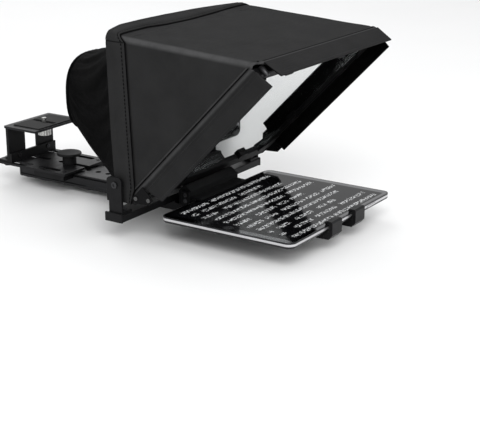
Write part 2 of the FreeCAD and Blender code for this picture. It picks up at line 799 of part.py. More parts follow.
def build_clamp_knob():
    seat = d.plate_bottom + d.plate_thickness + 0.2
    stud_bottom = size(4.0)
    stud = rod("knob_stud", (0, d.knob_y, stud_bottom), d.knob_stud_radius, seat - stud_bottom + 2.0)
    neck = rod("knob_neck", (0, d.knob_y, seat), d.knob_neck_radius, d.knob_neck_height)
    head = rod("knob_head", (0, d.knob_y, seat + d.knob_neck_height), d.knob_radius, d.knob_head_height)
    rim = doc.addObject("Part::Chamfer", "knob_rim")
    rim.Base = head
    doc.recompute()
    edges = [index for index, edge in enumerate(head.Shape.Edges, start=1)
             if edge.Curve.TypeId == "Part::GeomCircle"]
    rim.Edges = [(index, 0.8, 0.8) for index in edges]
    publish("clamp_knob", fused("clamp_knob_blank", [stud, neck, rim]))


# ---------------------------------------------------------------- riser and camera screw

def build_riser():
    half = d.riser_half_width
    floor = d.plate_bottom + d.plate_thickness + 0.1
    foot_profile = [
        (d.foot_front, floor), (d.foot_rear, floor), (d.foot_rear, floor + 3.0),
        (d.foot_front + d.foot_thickness, floor + 3.0),
        (d.foot_front + d.foot_thickness, floor + d.foot_height), (d.foot_front, floor + d.foot_height),
    ]
    prism("riser_foot", "x", -half, half * 2, foot_profile)
    web_low = floor + 3.0
    deck_low = d.deck_top - d.deck_thickness
    web = prism("riser_web", "y", d.web_front, d.web_thickness, rectangle(-half, half, web_low, deck_low))
    cut_pocket(web, "y", d.web_front, d.web_thickness,
               rectangle(-d.window_half_width, d.window_half_width, d.window_bottom, d.window_top))
    deck = prism("camera_deck", "z", deck_low, d.deck_thickness,
                 rectangle(-half - 1.0, half + 1.0, d.deck_front, d.deck_rear),
                 slots=[(0, d.deck_slot_front, d.deck_slot_rear, 3.6)])
    round_edges(deck, 3.0, along_edge("z", *[{"x": x * (half.value + 1.0), "y": y.value}
                                             for x in (-1, 1) for y in (d.deck_front, d.deck_rear)]))
    prism("camera_pad", "z", d.deck_top, d.deck_pad,
          rectangle(-36.0, 36.0, d.deck_front + 2.5, d.web_front - 2.5),
          slots=[(0, d.deck_slot_front, d.deck_slot_rear, 4.0)])
    screws = []
    for side in (-1, 1):
        seat = (side * 29.0, d.foot_front, floor + 8.5)
        screws.append(socket_screw(f"web_screw_{side}", seat, FORWARD, 1.5, 6.5, 2.8, 1.4))
        seat = (side * d.slot_row.value, d.foot_screw_y, floor + 3.0)
        screws.append(socket_screw(f"foot_screw_{side}", seat, UP, 2.5, 8.6, 4.4, 2.6))
        below = (side * d.slot_row.value, d.foot_screw_y, d.plate_bottom - 3.2)
        screws.append(cut_from(f"riser_nut_{side}", hexagon(f"riser_nut_blank_{side}", below, 6.5, 3.0),
                               rod(f"riser_nut_bore_{side}", below, 2.55, 3.0)))
    group("riser_fasteners", screws)


def build_camera_screw():
    """A carriage under the deck's slot, and the necked thumb screw that it holds captive."""
    deck_low = d.deck_top - d.deck_thickness
    y = d.camera_screw_y
    blank = block("screw_slide_blank", (-8.0, y - 8.0, deck_low - 2.6), (16.0, 16.0, 2.4))
    bore = rod("screw_slide_bore", (0, y, deck_low - 3.0), d.camera_screw_neck + 0.05, 4.0)
    publish("screw_carriage", cut_from("screw_slide", blank, bore))
    seat = d.deck_top + d.deck_pad
    grip_low = deck_low - 14.0
    neck = rod("camera_screw_shank", (0, y, grip_low + 8.0), d.camera_screw_neck, seat - grip_low - 8.0)
    tip = rod("camera_screw_tip", (0, y, seat), d.camera_screw_radius, d.camera_screw_reach)
    grip = knurled_grip("camera_screw", (0, y, grip_low), 9.0, 11.0, 16)
    publish("camera_screw", fused("camera_screw_blank", [neck, tip, grip]))


# ---------------------------------------------------------------- glass and its frame

def build_glass_frame():
    """Four bars round the glass, corner plates, clips and the glass itself, all leant together."""
    half = d.frame_half_width
    back, front = -d.frame_back, -d.frame_front
    low_top = d.frame_bottom + d.frame_bottom_bar
    high_low = d.frame_top - d.frame_bar
    depth = d.frame_front - d.frame_back
    outer_bars = (("glass_frame_bottom", d.frame_bottom, low_top),
                  ("glass_frame_top", high_low, d.frame_top))
    for label, low, high in outer_bars:
        bar = prism(label, "y", front, depth, rectangle(-half, half, low, high), soften=1.0)
        lean(bar)
    for name, side in SIDES:
        outer = half * side
        inner = (half - d.frame_side_bar) * side
        left, right = (outer, inner) if side < 0 else (inner, outer)
        bar = prism(f"glass_frame_{name}", "y", front, depth, rectangle(left, right, low_top, high_low),
                    soften=1.0)
        lean(bar)
    inner = half - d.frame_side_bar - d.glass_gap
    glass = prism("beam_splitter", "y", -d.glass_back - d.glass_thickness, d.glass_thickness,
                  rectangle(-inner, inner, low_top + d.glass_gap, high_low - d.glass_gap))
    lean(glass)
    gussets = []
    for name, side in SIDES:
        corner = (half - d.frame_side_bar + 2.0) * side
        reach = (half - d.frame_side_bar - d.gusset) * side
        for level, edge, way in (("lower", low_top, 1), ("upper", high_low, -1)):
            outline = [(corner, edge - 2.0 * way), (reach, edge - 2.0 * way), (reach, edge),
                       (corner - 2.0 * side, edge + d.gusset * way), (corner, edge + d.gusset * way)]
            gusset = prism(f"{level}_{name}_gusset", "y", front - 1.6, 1.6, outline, own=False)
            gussets.append(lean(gusset))
    group("frame_gussets", gussets)
    clips = []
    for side in (-1, 1):
        for index, height in enumerate((60.0, 160.0)):
            across = (half - d.frame_side_bar) * side
            left = across - 6.0 if side > 0 else across - 1.5
            clips.append(leant_block(f"side_clip_{side}_{index}", (left, front - 1.6, height),
                                     (7.5, 5.0, 14.0)))
    for index, across in enumerate((-60.0, 60.0)):
        for edge, low in (("low", low_top - 1.5), ("high", high_low - 6.0)):
            clips.append(leant_block(f"{edge}_clip_{index}", (across, front - 1.6, low),
                                     (16.0, 5.0, 7.5)))
    group("glass_clips", clips)


def leant_block(name, low, extent):
    """A box given in the leant frame of the glass."""
    item = doc.addObject("Part::Box", name)
    for prop, length in zip(("Length", "Width", "Height"), extent):
        bind(item, prop, length)
    low = [size(length) for length in low]
    turn = Rotation(Vector(1, 0, 0), d.glass_lean.value)
    corner = turn.multVec(Vector(*[length.value for length in low]))
    item.Placement = Placement(corner + Vector(0, d.seam_y.value, d.seam_z.value), turn)
    return item


def leant_point(forward, up):
    """(Y, Z) of a point in the glass's frame: how far in front of it, and how far up it."""
    turn = Rotation(Vector(1, 0, 0), d.glass_lean.value)
    spot = turn.multVec(Vector(0, -size(forward).value, size(up).value))
    return d.seam_y + spot.y, d.seam_z + spot.z


# ---------------------------------------------------------------- hood

def build_hood():
    """Stiff fabric sides, top and bottom, and the frame that they are laced to at the back."""
    half = d.hood_half_width
    wall = d.hood_wall
    roof_front, roof_mid, roof_rear = size(-240.0), size(-52.0), size(-30.0)
    z_front, z_mid, z_rear = size(228.6), size(240.0), size(245.0)
    side_outline = [
        (roof_rear, z_rear - wall), (size(-28.5), size(228.0)), (size(-34.0), size(121.0)),
        (size(-37.0), size(71.0)), (size(-38.5), size(55.0)), (size(-50.0), size(39.5)),
        leant_point(d.frame_front, d.frame_bottom), leant_point(d.rim_depth, 13.0),
        leant_point(d.rim_depth, 235.0), (roof_front, z_front - wall - 0.2), (roof_mid, z_mid - wall),
    ]
    for name, side in SIDES:
        start = half - wall if side > 0 else -half
        prism(f"hood_{name}_side", "x", start, wall, side_outline,
              circles=[(d.tilt_y, d.tilt_z, d.tilt_pin_radius + 0.6)])
    roof = [
        (roof_front, z_front - wall), (roof_mid, z_mid - wall), (roof_rear, z_rear - wall),
        (roof_rear + 1.0, z_rear - 1.0), (roof_mid, z_mid), (roof_front - 4.0, z_front + 0.2),
        (roof_front - 4.0, z_front - wall + 0.5),
    ]
    prism("hood_top", "x", -half, half * 2, roof)
    floor_half = half - wall - 0.2
    prism("hood_bottom", "x", -floor_half, floor_half * 2,
          rectangle(size(-63.0), size(-39.5), size(38.6), size(41.6)), soften=0.6)
    bar = d.back_frame_bar
    inner = half - wall - 0.2
    depth = d.back_frame_rear - d.back_frame_front
    limbs = []
    for name, side in SIDES:
        left = inner - bar if side > 0 else -inner
        upright = prism(f"back_{name}", "y", d.back_frame_front, depth,
                        rectangle(left, left + bar, d.back_frame_low, d.back_frame_top), own=False)
        cut_pocket(upright, "x", left, bar, circles=[(d.tilt_y, d.tilt_z, d.tilt_bore_radius)])
        limbs.append(upright)
    span = inner - bar
    for name, low, height in (("top", d.back_frame_top - 8.0, 8.0), ("bottom", d.back_frame_low, 5.0)):
        limbs.append(prism(f"back_{name}", "y", d.back_frame_front, depth,
                           rectangle(-span, span, low, low + height), own=False))
    publish("hood_back_frame", fused("back_frame_fusion", limbs))
    screws, plates = [], []
    for name, side in SIDES:
        out = RIGHT if side > 0 else LEFT
        start = half + 0.2 if side > 0 else -half - 1.8
        plate_outline = [leant_point(6.0, -8.0), leant_point(14.0, -8.0), leant_point(27.0, 6.0),
                         leant_point(27.0, 15.0), leant_point(6.0, 15.0)]
        plates.append(prism(f"{name}_corner_plate", "x", start, 1.6, plate_outline, own=False))
        for index, (forward, up, reach) in enumerate(((10.0, -3.0, 9.0), (23.0, 10.5, 1.6))):
            seat = ((half + 1.8) * side, *leant_point(forward, up))
            screws.append(socket_screw(f"{name}_corner_screw_{index}", seat, out, 1.5, reach, 2.4, 1.1))
    group("hood_corner_plates", plates)
    group("hood_corner_screws", screws)


def fold_inward(flap, across):
    """Stand a flap on the seam, already turned some way in over the glass about its fold."""
    leant = Rotation(Vector(1, 0, 0), d.glass_lean.value)
    turn = Rotation(UP, -d.right_flap_fold.value)
    fold = Vector(across.value, -d.flap_start.value, 0)
    shift = leant.multVec(fold - turn.multVec(fold))
    flap.Placement = Placement(shift + Vector(0, d.seam_y.value, d.seam_z.value), leant.multiply(turn))


def build_flaps():
    start = d.hood_half_width - d.hood_wall
    outline = [(-d.flap_start, d.flap_low), (-d.flap_end, d.flap_low_outer),
               (-d.flap_end, d.flap_high_outer), (-d.flap_start, d.flap_high)]
    for name, side in SIDES:
        left = start if side > 0 else -start - d.flap_thickness
        flap = prism(f"{name}_flap", "x", left, d.flap_thickness, outline)
        if side < 0:
            lean(flap)
        else:
            fold_inward(flap, start)
    half = d.top_flap_half_length
    near = -d.top_flap_gap
    flap = prism("top_flap", "z", -d.flap_thickness / 2, d.flap_thickness,
                 [(-half, near), (-half + 2.0, -d.top_flap_width), (half - 2.0, -d.top_flap_width),
                  (half, near)])
    flap.Placement = Placement(Vector(0, d.top_flap_y.value, d.top_flap_z.value),
                               Rotation(Vector(1, 0, 0), d.top_flap_droop.value))
    bind(flap, "Placement.Base.y", d.top_flap_y)
    bind(flap, "Placement.Base.z", d.top_flap_z)
    bind(flap, "Placement.Rotation.Angle", d.top_flap_droop)


# ---------------------------------------------------------------- lens sleeve

def tapering_panel(label, back, mouth):
    """A ruled panel lofted from a rectangle at the hood's back to one at the mouth."""
    body = doc.addObject("PartDesign::Body", label + "_body")
    start = new_sketch(body, "y", d.sleeve_start)
    draw_outline(start, rectangle(*back))
    end = new_sketch(body, "y", d.sleeve_end)
    draw_outline(end, rectangle(*mouth))
    loft = body.newObject("PartDesign::AdditiveLoft", body.Name + "_loft")
    loft.Profile = start
    loft.Sections = [end]
    loft.Ruled = True
    doc.recompute()
    return body


def build_sleeve():
    skin = d.sleeve_skin
    wide, narrow = d.sleeve_back_half_width, d.sleeve_mouth_half_width
    low, high = d.sleeve_back_low, d.sleeve_back_high
    mouth_low, mouth_high = d.sleeve_mouth_low, d.sleeve_mouth_high
    publish("sleeve_top", tapering_panel("sleeve_top", (-wide, wide, high - skin, high),
                                         (-narrow, narrow, mouth_high - skin, mouth_high)))
    publish("sleeve_bottom", tapering_panel("sleeve_bottom", (-wide, wide, low, low + skin),
                                            (-narrow, narrow, mouth_low, mouth_low + skin)))
    panels = []
    for name, side in SIDES:
        back = (wide - skin, wide) if side > 0 else (-wide, -wide + skin)
        mouth = (narrow - skin, narrow) if side > 0 else (-narrow, -narrow + skin)
        panels.append(tapering_panel(f"sleeve_{name}", (*back, low + skin, high - skin),
                                     (*mouth, mouth_low + skin, mouth_high - skin)))
    group("sleeve_sides", panels)
    hem = prism("sleeve_hem", "y", d.sleeve_end, d.hem_depth,
                rectangle(-narrow, narrow, mouth_low, mouth_high))
    cut_pocket(hem, "y", d.sleeve_end, d.hem_depth,
               rectangle(-narrow + d.hem_wall, narrow - d.hem_wall,
                         mouth_low + d.hem_wall, mouth_high - d.hem_wall))


# ---------------------------------------------------------------- whole assembly

def check_and_export():
    doc.recompute()
    for item in doc.Objects:
        for state in item.State:
            if state in ("Invalid", "Error"):
                raise RuntimeError(f"{item.Label}: {state}")
    os.makedirs("parts", exist_ok=True)
    for item in SUBPARTS:
        if item.Shape.isNull() or not item.Shape.isValid():
            raise RuntimeError(f"{item.Label}: bad shape")
        item.Shape.exportStep(f"parts/{item.Label}.step")
        print(f"{item.Label}: {len(item.Shape.Solids)} solid, {item.Shape.Volume / 1000:.2f} cm3")
    print(len(SUBPARTS), "sub-parts")


build_rail()
build_rail_ends()
build_tripod_plate()
build_crossbar()
build_brackets()
build_frame_fasteners()
build_clamp_bar()
build_tubes()
build_hooks()
build_tablet()
build_camera_plate()
build_clamp_knob()
build_riser()
build_camera_screw()
build_glass_frame()
build_hood()
build_flaps()
build_sleeve()
check_and_export()
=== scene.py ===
import json
import math

import bpy
import numpy as np
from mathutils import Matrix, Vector


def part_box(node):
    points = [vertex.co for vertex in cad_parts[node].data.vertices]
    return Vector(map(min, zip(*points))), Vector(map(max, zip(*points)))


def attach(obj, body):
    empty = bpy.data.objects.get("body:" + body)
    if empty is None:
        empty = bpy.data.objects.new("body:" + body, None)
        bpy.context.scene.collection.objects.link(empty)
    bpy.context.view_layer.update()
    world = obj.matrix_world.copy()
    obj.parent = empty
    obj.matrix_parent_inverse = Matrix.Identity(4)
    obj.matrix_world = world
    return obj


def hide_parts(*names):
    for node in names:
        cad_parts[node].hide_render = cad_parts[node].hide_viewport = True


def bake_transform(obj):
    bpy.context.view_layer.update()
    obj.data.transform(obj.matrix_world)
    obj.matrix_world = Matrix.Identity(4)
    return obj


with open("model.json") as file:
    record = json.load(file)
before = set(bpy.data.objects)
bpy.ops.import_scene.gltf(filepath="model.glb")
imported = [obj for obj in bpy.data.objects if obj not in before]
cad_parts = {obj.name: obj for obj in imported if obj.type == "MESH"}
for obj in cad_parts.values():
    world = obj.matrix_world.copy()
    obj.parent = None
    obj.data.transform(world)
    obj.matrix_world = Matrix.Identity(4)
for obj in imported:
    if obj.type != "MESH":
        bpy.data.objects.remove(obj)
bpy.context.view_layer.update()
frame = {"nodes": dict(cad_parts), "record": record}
NODES = frame["nodes"]
MM = 0.001

# ---------------- hood measures, in millimetres

SEAM_Y, SEAM_Z = -67.0, 58.0  # the line that the glass leans back from
LEAN = math.radians(44.15)
FORWARD = (-math.cos(LEAN), -math.sin(LEAN))  # (Y, Z) out of the glass's front
UPWARD = (-math.sin(LEAN), math.cos(LEAN))  # (Y, Z) up the glass
SIDE_X = 140.4  # outside of the side panels
FOLD_RADIUS = 7.0  # where the sides turn into the roof
ROOF_FRONT, ROOF_REAR = -243.6, -30.5
ARCH_START = -52.0  # behind this, the roof rises towards its arched rear edge
ROOF_LINE = ((-244.0, 228.4), (ARCH_START, 240.0), (ROOF_REAR, 240.6))  # (Y, Z)
# How much the roof's rear edge arches up, along X.
CROWN = ((-140.0, 0.0), (-133.0, 3.2), (-114.0, 6.6), (-72.0, 7.2), (-25.0, 6.8), (36.0, 5.4),
         (101.0, 2.4), (133.0, 0.6), (140.0, 0.0))
CORNER_CUT_X, CORNER_CUT_DEPTH = 127.0, 11.6  # where the roof's front corners are cut back, and how far
PANEL_FRONT_TOP, PANEL_REAR_TOP = 222.0, 233.6  # tops of a side panel, below the fold
HEM_CREST = 5.2  # the middle of the raised hem, in front of the glass plane
HEM_SEAM = 1.5  # the groove behind that hem
SIDE_FLAP_FOLD = {-1: 0.0, 1: math.radians(24.0)}  # how far in each side flap is folded
CLOTH_THICKNESS = 2.2
CLOTH_SINK = 0.6  # how far the cloth lies inside its outline, between its ridges
BAND_JOIN_Z = 232.4  # where the binding's side piece meets its roof piece
# the paler tone painted as a highlight along the hood's fold and the crest of its hem
PAINTED_HIGHLIGHT_CLOTH = (0.066, 0.066, 0.067)
HIGHLIGHT_FOLD_X = (133.5, 137.5)  # where the painted highlight at the fold begins and where it is full
HIGHLIGHT_FOLD_Z = (-8.5, -4.5)  # the same, measured from the roof line


def leant(forward, up):
    """(Y, Z) of a point in front of the glass plane and up along it."""
    return (SEAM_Y + forward * FORWARD[0] + up * UPWARD[0],
            SEAM_Z + forward * FORWARD[1] + up * UPWARD[1])


def in_front(y, z):
    """How far a point (Y, Z) stands in front of the glass plane."""
    return (y - SEAM_Y) * FORWARD[0] + (z - SEAM_Z) * FORWARD[1]


# ---------------- node trees

class Shader:
    """A material under construction, with short calls for the nodes it needs."""

    def __init__(self, name, **constants):
        self.material = bpy.data.materials.new(name)
        self.material.use_nodes = True
        self.tree = self.material.node_tree
        self.surface = self.tree.nodes["Principled BSDF"]
        coordinates = self.tree.nodes.new("ShaderNodeTexCoord")
        self.place = coordinates.outputs["Object"]
        for socket, value in constants.items():
            self.surface.inputs[socket.replace("_", " ")].default_value = value

    def node(self, kind, inputs=None, **settings):
        """A node with its inputs linked or set."""
        item = self.tree.nodes.new("ShaderNode" + kind)
        for name, value in settings.items():
            setattr(item, name, value)
        for key, value in (inputs or {}).items():
            socket = item.inputs[key]
            if isinstance(value, bpy.types.NodeSocket):
                self.tree.links.new(value, socket)
            else:
                socket.default_value = value
        return item

    def stretch(self, x, y, z):
        item = self.node("Mapping", {"Vector": self.place, "Scale": (x, y, z)})
        return item.outputs["Vector"]

    def noise(self, scale, detail=3.0, rough=0.55, source=None):
        item = self.node("TexNoise", {"Vector": source or self.place, "Scale": scale, "Detail": detail,
                                      "Roughness": rough})
        return item.outputs["Fac"]

    def cells(self, scale):
        item = self.node("TexVoronoi", {"Vector": self.place, "Scale": scale}, feature="F1")
        return item.outputs["Distance"]

    def math(self, operation, first, second=0.0):
        item = self.node("Math", {0: first, 1: second}, operation=operation)
        return item.outputs[0]

    def remap(self, value, low, high, new_low, new_high):
        item = self.node("MapRange", {"Value": value, "From Min": low, "From Max": high,
                                      "To Min": new_low, "To Max": new_high})
        return item.outputs["Result"]

    def mix(self, share, first, second):
        """A share of the way from the first colour to the second."""
        item = self.node("Mix", data_type="RGBA")
        for index, value in ((0, share), (6, first), (7, second)):
            if isinstance(value, bpy.types.NodeSocket):
                self.tree.links.new(value, item.inputs[index])
            else:
                item.inputs[index].default_value = value if index == 0 else (*value, 1.0)
        return item.outputs[2]

    def axes(self):
        return self.node("SeparateXYZ", {"Vector": self.place}).outputs

    def colour(self, socket):
        self.tree.links.new(socket, self.surface.inputs["Base Color"])

    def roughness(self, socket):
        self.tree.links.new(socket, self.surface.inputs["Roughness"])

    def bump(self, height, strength, depth_mm, under=None):
        """A relief over another one, or over the plain surface."""
        inputs = {"Height": height, "Strength": strength, "Distance": depth_mm * MM}
        if under:
            inputs["Normal"] = under
        return self.node("Bump", inputs).outputs["Normal"]

    def normal(self, socket):
        self.tree.links.new(socket, self.surface.inputs["Normal"])

    def soft_edges(self, radius_mm):
        return self.node("Bevel", {"Radius": radius_mm * MM}, samples=4).outputs["Normal"]


def weave(shader, pitch_mm):
    """A plain weave's height: crossed ribs that show on any face along the axes."""
    turns = 2 * math.pi / (pitch_mm * MM)
    waves = [shader.math("SINE", shader.math("MULTIPLY", axis, turns)) for axis in shader.axes()]
    pairs = [shader.math("MULTIPLY", waves[a], waves[b]) for a, b in ((0, 1), (1, 2), (2, 0))]
    return shader.math("ADD", shader.math("ADD", pairs[0], pairs[1]), pairs[2])


def cloth(name, dark, light, pitch_mm=1.1, rough=0.8, crease=0.5, gloss=0.045, highlights_and_join_lines=None):
    """Coated nylon: a fine weave, mottled dye and soft creases, with extra marks laid over the tone
    where given: painted highlights on the hood, a dark join line on the binding.
    """
    shader = Shader(name, Specular_IOR_Level=gloss)
    threads = weave(shader, pitch_mm)
    mottle = shader.noise(26.0, 5.0, 0.6)
    fibres = shader.noise(1400.0, 2.0, 0.7)
    tone = shader.mix(shader.remap(mottle, 0.3, 0.7, 0.0, 1.0), dark, light)
    lit = tuple(c * 1.45 + 0.0006 for c in light)
    tone = shader.mix(shader.remap(fibres, 0.5, 0.85, 0.0, 0.5), tone, lit)
    tone = shader.mix(shader.remap(threads, -1.0, 1.6, 0.0, 0.35), tone, lit)
    if highlights_and_join_lines:
        tone = highlights_and_join_lines(shader, tone)
    shader.colour(tone)
    shader.roughness(shader.remap(fibres, 0.2, 0.8, rough - 0.08, rough + 0.08))
    soft = shader.bump(shader.noise(34.0, 2.0, 0.5), crease, 1.2)
    shader.normal(shader.bump(threads, 0.5, 0.12, soft))
    return shader.material


def hood_painted_highlights(shader, tone):
    """Painted highlights on the hood: a paler band along the fold between side and roof, and along the
    crest of the sloping hem, broken up by noise.
    """
    x, y, z = shader.axes()
    slope = (ROOF_LINE[1][1] - ROOF_LINE[0][1]) / (ROOF_LINE[1][0] - ROOF_LINE[0][0])
    below = shader.math("SUBTRACT", shader.math("SUBTRACT", z, ROOF_LINE[0][1] * MM),
                        shader.math("MULTIPLY", shader.math("SUBTRACT", y, ROOF_LINE[0][0] * MM), slope))
    begins, full = (end * MM for end in HIGHLIGHT_FOLD_X)
    outer = shader.remap(shader.math("ABSOLUTE", x), begins, full, 0.0, 1.0)
    begins, full = (end * MM for end in HIGHLIGHT_FOLD_Z)
    fold = shader.math("MULTIPLY", outer, shader.remap(below, begins, full, 0.0, 1.0))
    behind = shader.math("MULTIPLY", shader.math("SUBTRACT", y, SEAM_Y * MM), FORWARD[0])
    above = shader.math("MULTIPLY", shader.math("SUBTRACT", z, SEAM_Z * MM), FORWARD[1])
    ahead = shader.math("ADD", behind, above)
    from_crest = shader.math("ABSOLUTE", shader.math("SUBTRACT", ahead, HEM_CREST * MM))
    crest = shader.remap(from_crest, 0.0006, 0.003, 0.6, 0.0)
    patchy = shader.remap(shader.noise(60.0, 4.0, 0.6), 0.25, 0.7, 0.55, 1.0)
    # how much painted highlight each place gets, broken up by noise
    highlight_share = shader.math("MULTIPLY", shader.math("MAXIMUM", fold, crest), patchy)
    return shader.mix(highlight_share, tone, PAINTED_HIGHLIGHT_CLOTH)


def tape_lines(shader, tone):
    """The dark line where the binding's roof and side pieces are joined."""
    _, _, z = shader.axes()
    off = shader.math("ABSOLUTE", shader.math("SUBTRACT", z, BAND_JOIN_Z * MM))
    return shader.mix(shader.remap(off, 0.0003, 0.001, 0.8, 0.0), tone, (0.0015, 0.0015, 0.0016))


def anodised(name, tone, rough=0.42, grain=(1.0, 1.0, 1.0), metallic=0.85, gloss=0.5):
    """Bead-blasted, dyed aluminium: fine grain, faint handling marks, rubbed edges."""
    shader = Shader(name, Metallic=metallic, Specular_IOR_Level=gloss)
    fine = shader.noise(2600.0, 2.0, 0.6)
    marks = shader.noise(95.0, 6.0, 0.65, shader.stretch(*grain))
    pale = tuple(c * 1.9 + 0.002 for c in tone)
    base = shader.mix(shader.remap(marks, 0.35, 0.75, 0.0, 0.5), tone, pale)
    shader.colour(shader.mix(shader.remap(fine, 0.45, 0.8, 0.0, 0.3), base, pale))
    shader.roughness(shader.remap(marks, 0.25, 0.75, rough - 0.07, rough + 0.1))
    edges = shader.soft_edges(0.55)
    shader.normal(shader.bump(fine, 0.18, 0.05, edges))
    return shader.material


def moulded(name, tone, rough=0.5, spark=1900.0, gloss=0.45):
    """Moulded plastic with a spark-eroded grain."""
    shader = Shader(name, Specular_IOR_Level=gloss)
    grain = shader.cells(spark)
    cloudy = shader.noise(60.0, 4.0, 0.6)
    pale = tuple(c * 1.5 + 0.003 for c in tone)
    shader.colour(shader.mix(shader.remap(cloudy, 0.3, 0.7, 0.0, 1.0), tone, pale))
    shader.roughness(shader.remap(cloudy, 0.2, 0.8, rough - 0.06, rough + 0.08))
    edges = shader.soft_edges(0.4)
    shader.normal(shader.bump(grain, 0.25, 0.06, edges))
    return shader.material


def rubber(name, tone):
    """Dull rubber with a little dust on it."""
    shader = Shader(name, Specular_IOR_Level=0.3)
    grain = shader.noise(800.0, 4.0, 0.7)
    dust = shader.noise(45.0, 4.0, 0.6)
    dusty = tuple(c * 2.2 + 0.01 for c in tone)
    shader.colour(shader.mix(shader.remap(dust, 0.45, 0.8, 0.0, 0.6), tone, dusty))
    shader.roughness(shader.remap(dust, 0.2, 0.8, 0.72, 0.9))
    shader.normal(shader.bump(grain, 0.4, 0.12, shader.soft_edges(0.3)))
    return shader.material


def plated(name, tone, rough=0.3):
    """Zinc-plated or blackened steel, with turning marks and a few scratches."""
    shader = Shader(name, Metallic=1.0)
    turning = shader.noise(500.0, 3.0, 0.6, shader.stretch(1.0, 1.0, 14.0))
    patina = shader.noise(160.0, 5.0, 0.6)
    dulled = tuple(c * 0.72 for c in tone)
    shader.colour(shader.mix(shader.remap(patina, 0.35, 0.75, 0.0, 0.7), tone, dulled))
    shader.roughness(shader.remap(turning, 0.2, 0.8, rough - 0.08, rough + 0.14))
    shader.normal(shader.bump(turning, 0.12, 0.05, shader.soft_edges(0.25)))
    return shader.material


def silvered_glass():
    """The beam splitter: a half-mirror coat on clear glass, with a faint haze."""
    shader = Shader("beam_splitter_glass", Metallic=1.0, Alpha=0.8)
    haze = shader.noise(9.0, 3.0, 0.5)
    shader.colour(shader.mix(haze, (0.83, 0.85, 0.85), (0.88, 0.9, 0.9)))
    shader.roughness(shader.remap(haze, 0.3, 0.7, 0.015, 0.04))
    shader.material.blend_method = "BLEND"
    return shader.material


# ---------------- tablet screen

SCREEN_LOW, SCREEN_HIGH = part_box("tablet_screen")
CASE_LOW, CASE_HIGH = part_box("tablet_case")
LINE_PITCH = 15.4 * MM  # from one line of the script to the next
BEZEL = 7.5 * MM
LETTERS_LOW, LETTERS_HIGH = 0.34, 0.76  # the part of a line's pitch that its letters fill
WORDS_PER_METRE, LETTERS_PER_METRE = 52.0, 310.0
STROKES_PER_LINE = 6.5
DISPLAY_DARK, DISPLAY_SMEARED = (0.002, 0.002, 0.0024), (0.004, 0.004, 0.0048)
BEZEL_TONE, INK_TONE = (0.13, 0.13, 0.135), (0.66, 0.67, 0.68)


def screen_material():
    """Dark glass over a display that shows rows of greeked words."""
    shader = Shader("tablet_display", Specular_IOR_Level=0.1, Emission_Strength=0.85)
    x, y, _ = shader.axes()

    def both(first, second):
        return shader.math("MULTIPLY", first, second)

    def between(value, low, high):
        return both(shader.math("GREATER_THAN", value, low), shader.math("LESS_THAN", value, high))

    def combine(across, along):
        return shader.node("CombineXYZ", {"X": across, "Y": along, "Z": 0.0}).outputs[0]

    row = shader.math("DIVIDE", shader.math("SUBTRACT", y, SCREEN_LOW.y + 0.35 * BEZEL), LINE_PITCH)
    index = shader.math("FLOOR", row)
    within = shader.math("FRACT", row)
    wander = shader.remap(shader.noise(900.0, 0.0, 0.5), 0.3, 0.7, -0.05, 0.05)
    body = between(shader.math("ADD", within, wander), LETTERS_LOW, LETTERS_HIGH)
    word_place = combine(both(x, WORDS_PER_METRE), both(index, 7.31))
    words = shader.math("GREATER_THAN", shader.noise(1.0, 0.0, 0.5, word_place), 0.34)
    letter_place = combine(both(x, LETTERS_PER_METRE), both(row, STROKES_PER_LINE))
    letters = shader.math("GREATER_THAN", shader.noise(1.0, 1.0, 0.6, letter_place), 0.525)
    ink = both(both(body, words), letters)
    line_place = combine(3.7, both(index, 3.17))
    line_end = shader.remap(shader.noise(1.0, 0.0, 0.5, line_place), 0.35, 0.65,
                            SCREEN_HIGH.x - 9.0 * BEZEL, SCREEN_HIGH.x - 1.6 * BEZEL)
    inside = both(between(x, SCREEN_LOW.x + 2.7 * BEZEL, line_end),
                  between(y, SCREEN_LOW.y + BEZEL, SCREEN_HIGH.y - BEZEL))
    display = both(between(x, SCREEN_LOW.x + 1.2 * BEZEL, SCREEN_HIGH.x - 1.1 * BEZEL),
                   between(y, SCREEN_LOW.y + 0.6 * BEZEL, SCREEN_HIGH.y - 0.6 * BEZEL))
    smear = shader.noise(30.0, 4.0, 0.6)
    shader.colour(shader.mix(display, BEZEL_TONE, shader.mix(smear, DISPLAY_DARK, DISPLAY_SMEARED)))
    shader.tree.links.new(shader.math("SUBTRACT", 1.0, display), shader.surface.inputs["Metallic"])
    glow = shader.mix(both(ink, inside), (0.0, 0.0, 0.0), INK_TONE)
    shader.tree.links.new(glow, shader.surface.inputs["Emission Color"])
    shader.roughness(shader.remap(smear, 0.3, 0.7, 0.04, 0.09))
    return shader.material


def case_metal():
    """The tablet's case: satin metal, with a painted highlight as a bright band along its side and
    painted shade as the darker metal above and below that band.
    """
    shader = Shader("tablet_case_metal", Metallic=0.9)
    _, _, z = shader.axes()
    thickness = CASE_HIGH.z - CASE_LOW.z
    # the band of the side that carries the painted highlight; the rest of the case carries painted shade
    rim = shader.math("MULTIPLY", shader.math("GREATER_THAN", z, CASE_LOW.z + 0.42 * thickness),
                      shader.math("LESS_THAN", z, CASE_LOW.z + 0.80 * thickness))
    fine = shader.noise(2600.0, 2.0, 0.6)
    marks = shader.noise(80.0, 5.0, 0.6)
    # the painted highlight's tone, then the painted shade's tone
    painted_highlight_tone = shader.mix(marks, (0.62, 0.62, 0.63), (0.5, 0.5, 0.51))
    dark = shader.mix(marks, (0.018, 0.018, 0.02), (0.03, 0.03, 0.033))
    shader.colour(shader.mix(rim, dark, painted_highlight_tone))
    shader.roughness(shader.remap(marks, 0.3, 0.7, 0.26, 0.4))
    shader.normal(shader.bump(fine, 0.12, 0.04, shader.soft_edges(0.5)))
    return shader.material


# ---------------- meshes

